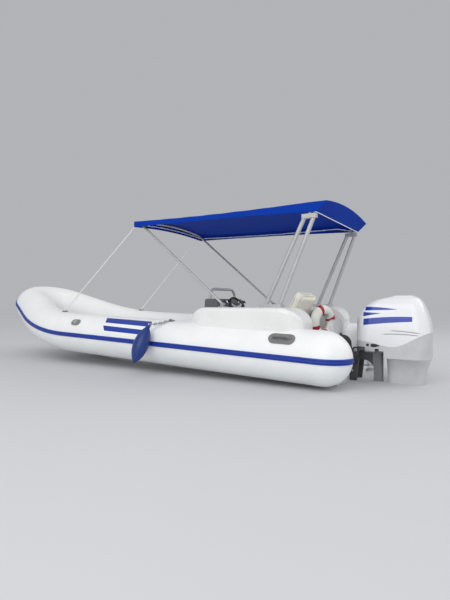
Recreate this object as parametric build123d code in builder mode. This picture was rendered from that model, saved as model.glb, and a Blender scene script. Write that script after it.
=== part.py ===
"""Rigid-hull inflatable boat with an outboard motor and a folding sun canopy.

Frame: +X to the bow, +Y to port, +Z up. The origin is on the waterline, amidships,
in the plane of the transom's aft face. All sizes are in millimetres.
"""

import os
from math import cos, radians, sin, sqrt, tan

from build123d import *

os.makedirs("parts", exist_ok=True)

# Clearances
SEAT_GAP = 0.3          # moulded parts seated on a tube or on each other
RUN_GAP = 0.05          # radial, shafts and pins in their bores

# Buoyancy tubes
TUBE_R = 250.0
TUBE_Y = 745.0          # half spacing of the tube centres
TUBE_Z = 280.0          # centre height at the transom
SHEER = 0.033           # rise of the straight run and of the deck
STERN_X = 37.0          # centre of the stern dome
SHOULDER_X = 3950.0     # knuckle where the tube turns up and in
SHOULDER_R = 2500.0
NOSE_X = 5150.0         # knuckle at the bow
NOSE_Y = 270.0
NOSE_Z = 811.0
NOSE_R = 380.0

# Rub strake round the tubes
STRAKE_H = 52.0
STRAKE_T = 14.0
STRAKE_ROUND = 7.0

# Moulded hull, deck and transom
FLOOR_Z = 150.0         # hull's top at the transom
CHINE_LAP = 95.0        # chine and rail under the tube, from the tube's inner side
RAIL_LAP = 155.0
tube_in = TUBE_Y - TUBE_R
HULL_ROWS = [
    # x, keel_z, chine_y, chine_drop, rail_y, rail_lift
    (0.0, -200.0, tube_in + CHINE_LAP, 120.0, tube_in + RAIL_LAP, 0.0),
    (2600.0, -200.0, tube_in + CHINE_LAP, 126.0, tube_in + RAIL_LAP, 0.0),
    (3400.0, -110.0, tube_in + CHINE_LAP - 30.0, 92.0, tube_in + RAIL_LAP - 10.0, 0.0),
    (4200.0, 75.0, 400.0, 100.0, 520.0, 111.0),
    (5020.0, 560.0, 40.0, 70.0, 70.0, 374.0),
]
CHINE_FLAT = 0.08       # share of the half-breadth
SPRAY_AT = 0.48         # spray rail between keel and chine
DECK_T = 20.0
DECK_STATIONS = (3400.0, 4200.0, 4700.0)
TRANSOM_T = 45.0
TRANSOM_TOP = 290.0     # where the motor hangs
WELL_HALF = 330.0       # half width of the motor cut-out
WING_TOP = 620.0
WING_LAP = 105.0        # how far the wings reach over the tubes
WING_R = 50.0

# Side pods on the tubes
POD_X0, POD_X1 = 240.0, 1570.0
POD_IN, POD_OUT = 500.0, 865.0
POD_RISE = 205.0        # flat top over the tube's crown at the transom
POD_BROW = 310.0        # length of the falling front
POD_TAIL = 205.0        # length of the falling tail
POD_TAIL_DROP = 145.0   # end of the tail under the flat top
POD_NOSE_R = 300.0      # outer corners in plan
POD_STERN_R = 190.0
POD_EDGE_R = 45.0

# Helm console with its rail and wheel
CONSOLE_X0, CONSOLE_X1 = 1470.0, 1700.0
CONSOLE_HALF = 310.0
CONSOLE_TOP = 830.0
CONSOLE_RAKE = 50.0     # lean of the front and of the dash
CONSOLE_R = 18.0
RAIL_R = 17.0
RAIL_TOP = 965.0
RAIL_X = 1600.0
RAIL_BEND = 100.0
WHEEL_R = 150.0
WHEEL_GRIP = 13.0
WHEEL_Z = 660.0         # height where the column leaves the console
WHEEL_RAKE = 28.0
COLUMN_R = 11.0
COLUMN_OUT = 105.0      # wheel plane to the console face
COLUMN_IN = 50.0
BOSS_R = 42.0
BOSS_OUT = 45.0

# Helm seat
SEAT_X0, SEAT_X1 = 490.0, 1080.0
SEAT_HALF = 250.0
SEAT_TOP = 530.0
SEAT_TOE = 40.0         # recess for the toes under the front edge
SEAT_ROUND = 22.0
CUSHION_X0 = 700.0
CUSHION_T = 90.0
CUSHION_HALF = 235.0
CUSHION_R = 40.0
PAD_ROUND = 24.0        # edges of the cushion and backrest
BACK_RAKE = 30.0
BACK_H = 330.0
BACK_T = 110.0
BACK_HALF = 240.0
BACK_FOOT = (700.0, 640.0)   # lower front edge of the backrest, x and z
BACK_SHELL = 150.0           # how far the moulded shell reaches up the backrest

# Life ring on the back of the seat
RING_R = 155.0
RING_BODY = 50.0
RING_INSET = 50.0       # ring's centre in from the seat's side
RING_Z = 557.0
RING_TURN = 18.0        # ring's face turned to port
PEG_R = 12.0

# Fender, its lanyard and tube fittings
FENDER_R = 84.0
FENDER_HEAD = (1880.0, 45.0, 180.0)     # x, out from the tube's side, up from its centre
FENDER_FOOT = (1940.0, 190.0, -192.0)
FENDER_NECK_R = 16.0
FENDER_NECK = 22.0
FENDER_TIP_R = 10.0
LINE_R = 7.0
EYE_X, EYE_TILT = 1760.0, 13.0
EYE_PAD = (90.0, 60.0)
PAD_T = 9.0
HANDLE_X, HANDLE_TILT = 370.0, 49.0
HANDLE_PAD = (260.0, 110.0)
HANDLE_SPAN = 170.0
HANDLE_RISE = 46.0
HANDLE_R = 15.0
VALVE_X, VALVE_TILT = 3180.0, 52.0
VALVE_PAD = (150.0, 84.0)
VALVE_CAP_R = 26.0
VALVE_CAP_H = 16.0

# Canopy arch and bows
ARCH_FOOT = (571.0, 213.0)      # foot plate on the pod: x, and out from the pod's inner side
ARCH_HEAD = (205.0, 1590.0)     # x, z
ARCH_INSET = 21.0               # head in from the canopy's side
ARCH_PLATE = (230.0, 110.0, 30.0)
ARCH_CAP = (140.0, 50.0, 40.0)
ARCH_LEG_R = 20.0
ARCH_SPREAD = 150.0             # between the two tubes at the foot
ARCH_PINCH = 92.0               # between the two tubes at the head
BAR_R = 16.0
BAR_INSET = 8.0
BOW_INSET = 72.0                # hoop's corner in from the canopy's side
BOW_FOOT_IN = 112.0             # pivot out from the pod's inner side
BOW_R = 14.0
BOW_FOOT = (80.0, 60.0, 8.0)
BOW_FOOT_X = 1203.0
BOW_PIVOT_UP = 30.0             # pivot above the pod
BOW_CORNER_X = 2410.0
PIVOT_R = 6.0
EYE_R = 20.0
EYE_HALF = 12.0
CHEEK_T = 6.0
CHEEK_GAP = 2.0
CANOPY_X0, CANOPY_X1 = 30.0, 2440.0
CANOPY_HALF = 684.0
CANOPY_EDGE = 1712.0            # height of the top's side edges at the rear
CANOPY_RISE = 0.022             # slope of the top towards the bow
CANOPY_CROWN = 55.0
CANOPY_DROP = 92.0              # depth of the skirt at the rear
CANOPY_TAPER = 0.010            # how the skirt narrows towards the bow
CANOPY_T = 4.0
STAY_R = 5.0
STAY_TURN = 7.6                 # where the stays land, along the shoulder bend
STAY_PAD_R = 38.0

# Outboard motor
PIVOT_X, PIVOT_Z = -60.0, 305.0     # tilt tube
TILT_R = 15.0
STEER_X = -265.0
STEER_R = 20.0
CLAMP_IN, CLAMP_OUT = 92.0, 108.0
CLAMP_LOW = -130.0
CLAMP_DEEP = 55.0       # plate's depth at its foot
CLAMP_HUB = 35.0
CLAMP_HOOK = 14.0
CLAMP_GRIP = 25.0       # hook's thickness inside the transom
CLAMP_REACH = 70.0      # how far the hook reaches down
CLAMP_ROUND = 18.0
SWIVEL_HALF = 85.0
SWIVEL_HUB = 32.0
SWIVEL_TUBE = 42.0
SWIVEL_Z0, SWIVEL_Z1 = -100.0, 285.0
SWIVEL_ARM = 205.0      # underside of the arm from the tilt tube
SWIVEL_CROOK = 92.0     # radius where the arm turns down
LIP_CLEAR = 10.0        # under the cowl's front lip, over the clamp's hubs
YOKE_T = 30.0
COWL_X0, COWL_X1 = -750.0, -62.0
COWL_HALF = 195.0
COWL_TOP = 849.0
COWL_R = 130.0
COWL_ROWS = [
    # below the top, in from aft, in from fore, in from the sides, corner
    (560.0, 0.0, 0.0, 0.0, 130.0),
    (369.0, 0.0, 14.0, 0.0, 130.0),
    (249.0, 14.0, 26.0, 8.0, 125.0),
    (149.0, 43.0, 58.0, 24.0, 112.0),
    (79.0, 72.0, 118.0, 46.0, 98.0),
    (30.0, 105.0, 225.0, 86.0, 76.0),
    (0.0, 165.0, 345.0, 132.0, 52.0),
]
COWL_SPLIT = [(-42.0, 407.0), (-277.0, 384.0), (-437.0, 362.0), (-632.0, 446.0), (-772.0, 508.0)]
COWL_WALL = 60.0
POWER_Z = 435.0         # foot of the powerhead
POWER_H = 250.0
LEG_X1 = -350.0
LEG_ROWS = [
    # z, aft_x, length, width, corner
    (250.0, -744.0, 394.0, 372.0, 120.0),
    (190.0, -722.0, 372.0, 250.0, 95.0),
    (60.0, -694.0, 344.0, 150.0, 68.0),
    (-195.0, -650.0, 300.0, 104.0, 48.0),
]
PLATE_T = 10.0
PLATE_X0, PLATE_X1 = -760.0, -270.0
PLATE_HALF = 125.0
STRUT_X = -470.0
STRUT_HEAD = (320.0, 90.0, 40.0)    # length, width, corner
STRUT_FOOT = (250.0, 60.0, 28.0)
PROP_Z = -420.0
PROP_R = 165.0
PROP_HUB_R = 48.0
PROP_HUB_L = 105.0
PROP_SHAFT_R = 12.0
PROP_BLADES = 3
BLADE_ROWS = [
    # share of the radius, chord, thickness, pitch angle
    (0.24, 78.0, 11.0, 52.0),
    (0.60, 112.0, 8.0, 30.0),
    (0.86, 92.0, 6.0, 22.0),
    (1.00, 34.0, 4.0, 18.0),
]
GEAR_X0, GEAR_X1 = -650.0, -270.0
GEAR_R = 56.0
SKEG_Z = -590.0
SKEG_T = 14.0
SKEG_TOP = (-380.0, -620.0)         # fore and aft ends at the torpedo
SKEG_TIP = (-500.0, -590.0)

# Towing and lifting eyes
LUG_T = 14.0
LUG_R = 26.0
LUG_HOLE = 12.0
STERN_LUG_Y, STERN_LUG_Z = 420.0, 90.0

# Rigging hose from the transom to the motor bracket
HOSE_R = 22.0
HOSE_POINTS = [
    (TRANSOM_T, 400.0, 455.0),
    (-80.0, 400.0, 455.0),
    (-80.0, 345.0, 235.0),
    (-60.0, CLAMP_OUT, 190.0),
]
HOSE_BENDS = [55.0, 90.0]


def bend(before, knuckle, after, radius):
    """Tangent arc that rounds a knuckle: start, end, centre, axis and turn."""
    u = (knuckle - before).normalized()
    w = (after - knuckle).normalized()
    turn = u.get_angle(w)
    reach = radius * tan(radians(turn / 2))
    axis = u.cross(w).normalized()
    start = knuckle - u * reach
    return start, knuckle + w * reach, start + axis.cross(u) * radius, axis, turn


# Centre line of the port tube: stern, shoulder knuckle, nose knuckle, bow
stern = Vector(STERN_X, TUBE_Y, TUBE_Z + SHEER * STERN_X)
shoulder = Vector(SHOULDER_X, TUBE_Y, TUBE_Z + SHEER * SHOULDER_X)
nose = Vector(NOSE_X, NOSE_Y, NOSE_Z)
bow = Vector(NOSE_X, 0, NOSE_Z)
turn_in, turn_out, shoulder_c, shoulder_axis, shoulder_turn = bend(
    stern, shoulder, nose, SHOULDER_R
)
round_in, round_out, nose_c, nose_axis, nose_turn = bend(shoulder, nose, bow, NOSE_R)
run = (shoulder - stern).normalized()
rise = (nose - shoulder).normalized()
athwart = (bow - nose).normalized()
outboard = Vector(0, 1, 0)
out_rise = outboard.rotate(Axis((0, 0, 0), shoulder_axis), shoulder_turn)
out_bow = out_rise.rotate(Axis((0, 0, 0), nose_axis), nose_turn)


def tube_axis(x):
    """Point on the straight part of the port tube's centre line."""
    return Vector(x, TUBE_Y, TUBE_Z + SHEER * x)


def deck_z(x):
    return FLOOR_Z + DECK_T + SHEER * x


def side_tube(radius):
    """Port chamber: stern dome, straight run and shoulder bend."""
    with BuildPart() as tube:
        with BuildSketch(Plane(origin=stern, x_dir=outboard, z_dir=run)):
            Circle(radius)
        extrude(amount=(turn_in - stern).length)
        with BuildSketch(Plane(origin=turn_in, x_dir=outboard, z_dir=run)):
            Circle(radius)
        revolve(axis=Axis(shoulder_c, shoulder_axis), revolution_arc=shoulder_turn)
        with Locations(stern):
            Sphere(radius)
    return tube.part


def nose_tube(radius):
    """Bow chamber: both cheeks and the rounded nose."""
    with BuildPart() as tube:
        with BuildSketch(Plane(origin=turn_out, x_dir=out_rise, z_dir=rise)):
            Circle(radius)
        extrude(amount=(round_in - turn_out).length)
        with BuildSketch(Plane(origin=round_in, x_dir=out_rise, z_dir=rise)):
            Circle(radius)
        revolve(axis=Axis(nose_c, nose_axis), revolution_arc=nose_turn)
        with BuildSketch(Plane(origin=round_out, x_dir=out_bow, z_dir=athwart)):
            Circle(radius)
        extrude(amount=(bow - round_out).length)
        mirror(about=Plane.XZ)
    return tube.part


with BuildPart() as tube_port:
    add(side_tube(TUBE_R))

with BuildPart() as tube_starboard:
    mirror(tube_port.part, about=Plane.XZ)

with BuildPart() as tube_bow:
    add(nose_tube(TUBE_R))

# Room that the moulded parts leave for the tubes
with BuildPart() as tube_room:
    add(side_tube(TUBE_R + SEAT_GAP))
    mirror(about=Plane.XZ)
    add(nose_tube(TUBE_R + SEAT_GAP))


def strake_section(at, along, out):
    with BuildSketch(Plane(origin=at, x_dir=out, z_dir=along)) as section:
        with Locations((TUBE_R, 0)):
            RectangleRounded(2 * STRAKE_T, STRAKE_H, STRAKE_ROUND)
        Circle(TUBE_R + SEAT_GAP, mode=Mode.SUBTRACT)
    return section.sketch


with BuildPart() as strake_port:
    revolve(
        strake_section(stern, run, outboard),
        axis=Axis(stern, run.cross(outboard)),
        revolution_arc=90,
    )
    extrude(strake_section(stern, run, outboard), amount=(turn_in - stern).length, dir=run)
    revolve(
        strake_section(turn_in, run, outboard),
        axis=Axis(shoulder_c, shoulder_axis),
        revolution_arc=shoulder_turn,
    )
    extrude(
        strake_section(turn_out, rise, out_rise),
        amount=(round_in - turn_out).length,
        dir=rise,
    )
    revolve(
        strake_section(round_in, rise, out_rise),
        axis=Axis(nose_c, nose_axis),
        revolution_arc=nose_turn,
    )
    extrude(
        strake_section(round_out, athwart, out_bow),
        amount=(bow - round_out).length,
        dir=athwart,
    )

with BuildPart() as strake_starboard:
    mirror(strake_port.part, about=Plane.XZ)


def rail_at(x):
    """Half-breadth and height of the hull's top edge at a station."""
    for a, b in zip(HULL_ROWS, HULL_ROWS[1:]):
        if x <= b[0]:
            break
    t = (x - a[0]) / (b[0] - a[0])
    lift = a[5] + t * (b[5] - a[5])
    return a[4] + t * (b[4] - a[4]), FLOOR_Z + SHEER * x + lift


def station(x):
    return Plane(origin=(x, 0, 0), x_dir=(0, 1, 0), z_dir=(1, 0, 0))


with BuildPart() as hull:
    for x, keel_z, chine_y, chine_drop, rail_y, _ in HULL_ROWS:
        rail_z = rail_at(x)[1]
        with BuildSketch(station(x)):
            with BuildLine():
                chine_z = rail_z - chine_drop
                flat_y = chine_y * (1 - CHINE_FLAT)
                spray_y, spray_z = chine_y * SPRAY_AT, keel_z + (chine_z - keel_z) * SPRAY_AT
                side = [
                    (spray_y, spray_z),
                    (spray_y + chine_y * CHINE_FLAT / 2, spray_z),
                    (flat_y, chine_z),
                    (chine_y, chine_z),
                    (rail_y, rail_z),
                ]
                Polyline(
                    *[(-y, z) for y, z in reversed(side)], (0, keel_z), *side, close=True
                )
            make_face()
    loft(ruled=True)
    add(tube_room.part, mode=Mode.SUBTRACT)

with BuildPart() as deck:
    for x in (TRANSOM_T, *DECK_STATIONS):
        rail_y, rail_z = rail_at(x)
        with BuildSketch(station(x)):
            with Locations((0, rail_z + DECK_T / 2)):
                Rectangle(2 * rail_y, DECK_T)
    loft(ruled=True)
    add(tube_room.part, mode=Mode.SUBTRACT)

wing_y = tube_in + WING_LAP

with BuildPart() as transom:
    with BuildSketch(station(0)) as board:
        with BuildLine():
            Polyline(
                (-wing_y, FLOOR_Z),
                (wing_y, FLOOR_Z),
                (wing_y, WING_TOP),
                (WELL_HALF, WING_TOP),
                (WELL_HALF, TRANSOM_TOP),
                (-WELL_HALF, TRANSOM_TOP),
                (-WELL_HALF, WING_TOP),
                (-wing_y, WING_TOP),
                close=True,
            )
        make_face()
        fillet(board.vertices().filter_by(lambda v: v.Y > FLOOR_Z + 1), WING_R)
    extrude(amount=TRANSOM_T)
    add(tube_room.part, mode=Mode.SUBTRACT)
    add(hull.part, mode=Mode.SUBTRACT)
    with BuildSketch(station(0)):
        with Locations(HOSE_POINTS[0][1:]):
            Circle(HOSE_R + SEAT_GAP)
    extrude(amount=TRANSOM_T, mode=Mode.SUBTRACT)

# Side pods: a profile with a falling brow and tail, rounded in plan and along the top
pod_top = TUBE_Z + TUBE_R + POD_RISE
pod_tail_z = pod_top - POD_TAIL_DROP
pod_nose_z = TUBE_Z + SHEER * POD_X1 + TUBE_R
brow_x, tail_x = POD_X1 - POD_BROW, POD_X0 + POD_TAIL

with BuildPart() as pod_port:
    with BuildSketch(Plane.XZ.offset(-POD_OUT)):
        with BuildLine():
            Polyline(
                (POD_X0, pod_tail_z),
                (POD_X0, TUBE_Z),
                (POD_X1, TUBE_Z + SHEER * POD_X1),
                (POD_X1, pod_nose_z),
            )
            TangentArc((brow_x, pod_top), (POD_X1, pod_nose_z), tangent=(1, 0))
            Line((brow_x, pod_top), (tail_x, pod_top))
            TangentArc((tail_x, pod_top), (POD_X0, pod_tail_z), tangent=(-1, 0))
        make_face()
    extrude(amount=POD_OUT - POD_IN)
    with BuildSketch(Plane.XY.offset(TUBE_Z - TUBE_R)) as pod_plan:
        with Locations(((POD_X0 + POD_X1) / 2, (POD_IN + POD_OUT) / 2)):
            Rectangle(POD_X1 - POD_X0, POD_OUT - POD_IN)
        outer = pod_plan.vertices().group_by(Axis.Y)[-1].sort_by(Axis.X)
        fillet(outer[-1], POD_NOSE_R)
        fillet(pod_plan.vertices().group_by(Axis.X)[0].sort_by(Axis.Y)[-1], POD_STERN_R)
    extrude(amount=pod_top, mode=Mode.INTERSECT)
    rim = pod_port.edges().filter_by(Axis.Y, reverse=True)
    fillet(
        rim.filter_by(lambda e: e.center().Y > POD_IN + 1 and e.center().Z > pod_tail_z),
        POD_EDGE_R,
    )
    add(tube_room.part, mode=Mode.SUBTRACT)

with BuildPart() as pod_starboard:
    mirror(pod_port.part, about=Plane.XZ)

# Helm console with the boss of the steering column
column = Vector(-cos(radians(WHEEL_RAKE)), 0, sin(radians(WHEEL_RAKE)))
column_root = Vector(CONSOLE_X0, 0, WHEEL_Z)
wheel_centre = column_root + column * COLUMN_OUT

with BuildPart() as console:
    with BuildSketch(Plane.XZ.offset(-CONSOLE_HALF)):
        with BuildLine():
            Polyline(
                (CONSOLE_X0, deck_z(CONSOLE_X0)),
                (CONSOLE_X1, deck_z(CONSOLE_X1)),
                (CONSOLE_X1 - CONSOLE_RAKE, CONSOLE_TOP),
                (CONSOLE_X0 + CONSOLE_RAKE, CONSOLE_TOP),
                (CONSOLE_X0, CONSOLE_TOP - 1.5 * CONSOLE_RAKE),
                close=True,
            )
        make_face()
    extrude(amount=2 * CONSOLE_HALF)
    fillet(console.faces().sort_by(Axis.Z)[-1].edges(), CONSOLE_R)
    with BuildSketch(Plane(origin=column_root - column * BOSS_OUT, z_dir=column)):
        Circle(BOSS_R)
    extrude(amount=2 * BOSS_OUT)
    with BuildSketch(Plane(origin=column_root - column * COLUMN_IN, z_dir=column)):
        Circle(COLUMN_R + RUN_GAP)
    extrude(amount=COLUMN_IN + COLUMN_OUT, mode=Mode.SUBTRACT)

with BuildPart() as console_rail:
    with BuildLine() as rail_path:
        FilletPolyline(
            (RAIL_X, CONSOLE_HALF - 2 * RAIL_R, CONSOLE_TOP),
            (RAIL_X, CONSOLE_HALF - 2 * RAIL_R, RAIL_TOP - RAIL_R),
            (RAIL_X, -CONSOLE_HALF + 2 * RAIL_R, RAIL_TOP - RAIL_R),
            (RAIL_X, -CONSOLE_HALF + 2 * RAIL_R, CONSOLE_TOP),
            radius=RAIL_BEND,
        )
    with BuildSketch(Plane(origin=rail_path.line @ 0, z_dir=rail_path.line % 0)):
        Circle(RAIL_R)
    sweep(path=rail_path.line)

with BuildPart() as steering_wheel:
    with BuildSketch(Plane(origin=column_root - column * (COLUMN_IN - 1), z_dir=column)):
        Circle(COLUMN_R)
    extrude(amount=COLUMN_IN - 1 + COLUMN_OUT)
    with BuildSketch(Plane(origin=wheel_centre - column * 12, z_dir=column)):
        Circle(38)
    extrude(amount=30)
    wheel_plane = Plane(origin=wheel_centre, x_dir=(0, 1, 0), z_dir=column)
    with Locations(wheel_plane):
        Torus(WHEEL_R, WHEEL_GRIP)
    for k in range(3):
        with BuildSketch(wheel_plane):
            with PolarLocations(0, 1, start_angle=90 + 120 * k):
                with Locations((WHEEL_R / 2, 0)):
                    Rectangle(WHEEL_R, 26)
        extrude(amount=6, both=True)

# Helm seat: moulded box with a raised back shell and the peg of the ring
rake = radians(BACK_RAKE)
back_up = Vector(-sin(rake), 0, cos(rake))
back_aft = Vector(-cos(rake), 0, -sin(rake))
back_foot = Vector(BACK_FOOT[0], 0, BACK_FOOT[1])
shell_foot = back_foot + back_aft * (BACK_T + SEAT_GAP)
shell_head = shell_foot + back_up * BACK_SHELL
ring_axis = Vector(-cos(radians(RING_TURN)), sin(radians(RING_TURN)), 0)
ring_x = SEAT_X0 - RING_BODY - RING_R * ring_axis.Y - SEAT_GAP
ring_y = RING_INSET - SEAT_HALF
peg_z = RING_Z + RING_R - RING_BODY - PEG_R - SEAT_GAP
peg_in = (ring_x - SEAT_X0) / ring_axis.X + PEG_R
peg_root = Vector(ring_x, ring_y, peg_z) - ring_axis * peg_in

with BuildPart() as seat_base:
    with BuildSketch(Plane.XZ.offset(-SEAT_HALF)) as seat_side:
        with BuildLine():
            Polyline(
                (SEAT_X0, deck_z(SEAT_X0)),
                (SEAT_X1 - SEAT_TOE, deck_z(SEAT_X1 - SEAT_TOE)),
                (SEAT_X1 - SEAT_TOE, deck_z(SEAT_X1) + SEAT_TOE),
                (SEAT_X1, deck_z(SEAT_X1) + 2 * SEAT_TOE),
                (SEAT_X1, SEAT_TOP),
                (shell_foot.X + SEAT_TOE, SEAT_TOP),
                (shell_foot.X, shell_foot.Z),
                (shell_head.X, shell_head.Z),
                (SEAT_X0, shell_head.Z - SEAT_ROUND),
                close=True,
            )
        make_face()
        fillet(seat_side.vertices().sort_by(Axis.Y)[-1], SEAT_ROUND)
    extrude(amount=2 * SEAT_HALF)
    fillet(seat_base.edges().filter_by(Axis.Z).group_by(Axis.X)[-1], SEAT_ROUND)
    with BuildSketch(Plane(origin=peg_root, z_dir=ring_axis)):
        Circle(PEG_R)
    extrude(amount=peg_in + RING_BODY + 2 * PEG_R)

with BuildPart() as seat_cushion:
    with BuildSketch(Plane.XY.offset(SEAT_TOP + SEAT_GAP)):
        with Locations(((CUSHION_X0 + SEAT_X1) / 2, 0)):
            RectangleRounded(SEAT_X1 - CUSHION_X0, 2 * CUSHION_HALF, CUSHION_R)
    extrude(amount=CUSHION_T)
    fillet(seat_cushion.edges().group_by(Axis.Z)[-1], PAD_ROUND)

with BuildPart() as backrest:
    with BuildSketch(Plane(origin=back_foot, x_dir=(0, 1, 0), z_dir=back_aft)):
        with Locations((0, -BACK_H / 2)):
            RectangleRounded(2 * BACK_HALF, BACK_H, CUSHION_R)
    extrude(amount=BACK_T)
    fillet(backrest.faces().sort_by(Axis(back_foot, back_aft))[0].edges(), PAD_ROUND)

with BuildPart() as life_ring:
    with Locations(Plane(origin=(ring_x, ring_y, RING_Z), z_dir=ring_axis)):
        Torus(RING_R, RING_BODY)


def beside_tube(x, out, up):
    """Point abreast of the port tube, measured from its side and its centre line."""
    return tube_axis(x) + Vector(0, TUBE_R + out, up)


# Fender: a spindle turned from one arc, hung on a lanyard from an eye on the tube
fender_head, fender_foot = beside_tube(*FENDER_HEAD), beside_tube(*FENDER_FOOT)
fender_down = (fender_foot - fender_head).normalized()
fender_len = (fender_foot - fender_head).length
fender_side = fender_down.cross(Vector(1, 0, 0)).normalized()
fender_plane = Plane(
    origin=fender_head, x_dir=fender_side, z_dir=fender_down.cross(fender_side)
)

with BuildPart() as fender:
    with BuildSketch(fender_plane):
        with BuildLine():
            Polyline(
                (0, -fender_len),
                (0, FENDER_NECK),
                (FENDER_NECK_R, FENDER_NECK),
                (FENDER_NECK_R, 0),
            )
            ThreePointArc(
                (FENDER_NECK_R, 0), (FENDER_R, -fender_len / 2), (FENDER_TIP_R, -fender_len)
            )
            Line((FENDER_TIP_R, -fender_len), (0, -fender_len))
        make_face()
    revolve(axis=Axis(fender_head, fender_down))


def tube_spot(x, tilt):
    """Plane on the port tube's skin: local x runs forward, local z points out."""
    normal = Vector(-SHEER * cos(radians(tilt)), sin(radians(tilt)), cos(radians(tilt)))
    normal = normal.normalized()
    return Plane(origin=tube_axis(x) + normal * TUBE_R, x_dir=run, z_dir=normal)


def skin_pad(x, tilt, length, width):
    """Oval pad glued to the tube's skin."""
    spot = tube_spot(x, tilt)
    with BuildPart() as pad:
        with BuildSketch(spot.offset(-TUBE_R / 2)):
            SlotOverall(length, width)
        extrude(amount=TUBE_R)
        with BuildSketch(Plane(origin=tube_axis(x), x_dir=outboard, z_dir=run)):
            Circle(TUBE_R + PAD_T)
            Circle(TUBE_R + SEAT_GAP, mode=Mode.SUBTRACT)
        extrude(amount=length, both=True, mode=Mode.INTERSECT)
    return pad.part


with BuildPart() as fender_line:
    add(skin_pad(EYE_X, EYE_TILT, *EYE_PAD))
    eye_spot = tube_spot(EYE_X, EYE_TILT)
    eye_top = eye_spot.origin + eye_spot.z_dir * (PAD_T + LINE_R)
    knot = fender_head - fender_down * (FENDER_NECK + 2 * LINE_R + SEAT_GAP)
    with Locations(eye_top, knot):
        Sphere(2 * LINE_R)
    with BuildSketch(Plane(origin=eye_top, z_dir=knot - eye_top)):
        Circle(LINE_R)
    extrude(amount=(knot - eye_top).length)

with BuildPart() as handle_port:
    add(skin_pad(HANDLE_X, HANDLE_TILT, *HANDLE_PAD))
    spot = tube_spot(HANDLE_X, HANDLE_TILT)
    half = HANDLE_SPAN / 2
    with BuildLine(Plane(origin=spot.origin, x_dir=run, z_dir=run.cross(spot.z_dir))) as grip:
        FilletPolyline(
            (-half, 2), (-half * 0.7, HANDLE_RISE), (half * 0.7, HANDLE_RISE), (half, 2),
            radius=22,
        )
    with BuildSketch(Plane(origin=grip.line @ 0, z_dir=grip.line % 0)):
        Circle(HANDLE_R)
    sweep(path=grip.line)
    add(tube_room.part, mode=Mode.SUBTRACT)

with BuildPart() as handle_starboard:
    mirror(handle_port.part, about=Plane.XZ)

with BuildPart() as valve_port:
    add(skin_pad(VALVE_X, VALVE_TILT, *VALVE_PAD))
    with BuildSketch(tube_spot(VALVE_X, VALVE_TILT).offset(PAD_T / 2)):
        Circle(VALVE_CAP_R)
    extrude(amount=VALVE_CAP_H)

with BuildPart() as valve_starboard:
    mirror(valve_port.part, about=Plane.XZ)

# Canopy arch: a foot plate, two raked tubes and a head on each side
foot_x, foot_y = ARCH_FOOT[0], POD_IN + ARCH_FOOT[1]
head = Vector(ARCH_HEAD[0], CANOPY_HALF - ARCH_INSET, ARCH_HEAD[1])

with BuildPart() as arch_port:
    with BuildSketch(Plane.XY.offset(pod_top)):
        with Locations((foot_x, foot_y)):
            RectangleRounded(ARCH_PLATE[0], ARCH_PLATE[1], ARCH_LEG_R)
    extrude(amount=ARCH_PLATE[2])
    for side in (-1, 1):
        low = Vector(foot_x + side * ARCH_SPREAD / 2, foot_y, pod_top + 5)
        high = head + Vector(side * ARCH_PINCH / 2, 0, 0)
        with BuildSketch(Plane(origin=low, z_dir=high - low)):
            Circle(ARCH_LEG_R)
        extrude(amount=(high - low).length)
    with Locations(head):
        Box(*ARCH_CAP)
    with Locations((foot_x, foot_y, pod_top - ARCH_PLATE[2] / 2)):
        Box(2 * ARCH_PLATE[0], 2 * ARCH_PLATE[1], ARCH_PLATE[2], mode=Mode.SUBTRACT)

with BuildPart() as arch_starboard:
    mirror(arch_port.part, about=Plane.XZ)

# The canopy's crown is one arc across the boat that rises to the bow; both bars follow it
crown_r = (CANOPY_HALF**2 + CANOPY_CROWN**2) / (2 * CANOPY_CROWN)
crown_z = CANOPY_EDGE + CANOPY_CROWN - crown_r


def under_crown(x, y, radius):
    """Height of a bar's centre at a station and half-breadth, touching the canopy from below."""
    inner = crown_r - CANOPY_T - SEAT_GAP - radius
    return crown_z + CANOPY_RISE * (x - CANOPY_X0) + sqrt(inner**2 - y**2)


# Rear bar: two short risers on the arch heads and a crowned tube between them
bar_y = head.Y - BAR_INSET
bar_z = under_crown(head.X, bar_y, BAR_R)

with BuildPart() as rear_bar:
    for side in (-1, 1):
        with BuildSketch(Plane.XY.offset(head.Z + ARCH_CAP[2] / 2)):
            with Locations((head.X, side * bar_y)):
                Circle(BAR_R)
        extrude(amount=bar_z - head.Z - ARCH_CAP[2] / 2)
        with Locations((head.X, side * bar_y, bar_z)):
            Sphere(BAR_R)
    with BuildLine(station(head.X)) as bar_path:
        ThreePointArc((-bar_y, bar_z), (0, under_crown(head.X, 0, BAR_R)), (bar_y, bar_z))
    with BuildSketch(Plane(origin=bar_path.line @ 0, z_dir=bar_path.line % 0)):
        Circle(BAR_R)
    sweep(path=bar_path.line)

# Front bow: a flat hoop that hinges on two feet on the pods
bow_y = CANOPY_HALF - BOW_INSET
bow_pivot = Vector(BOW_FOOT_X, POD_IN + BOW_FOOT_IN, pod_top + BOW_PIVOT_UP)
bow_corner = Vector(BOW_CORNER_X, bow_y, under_crown(BOW_CORNER_X, bow_y, BOW_R))
bow_mid = Vector(BOW_CORNER_X, 0, under_crown(BOW_CORNER_X, 0, BOW_R))
leg_dir = (bow_corner - bow_pivot).normalized()

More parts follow.
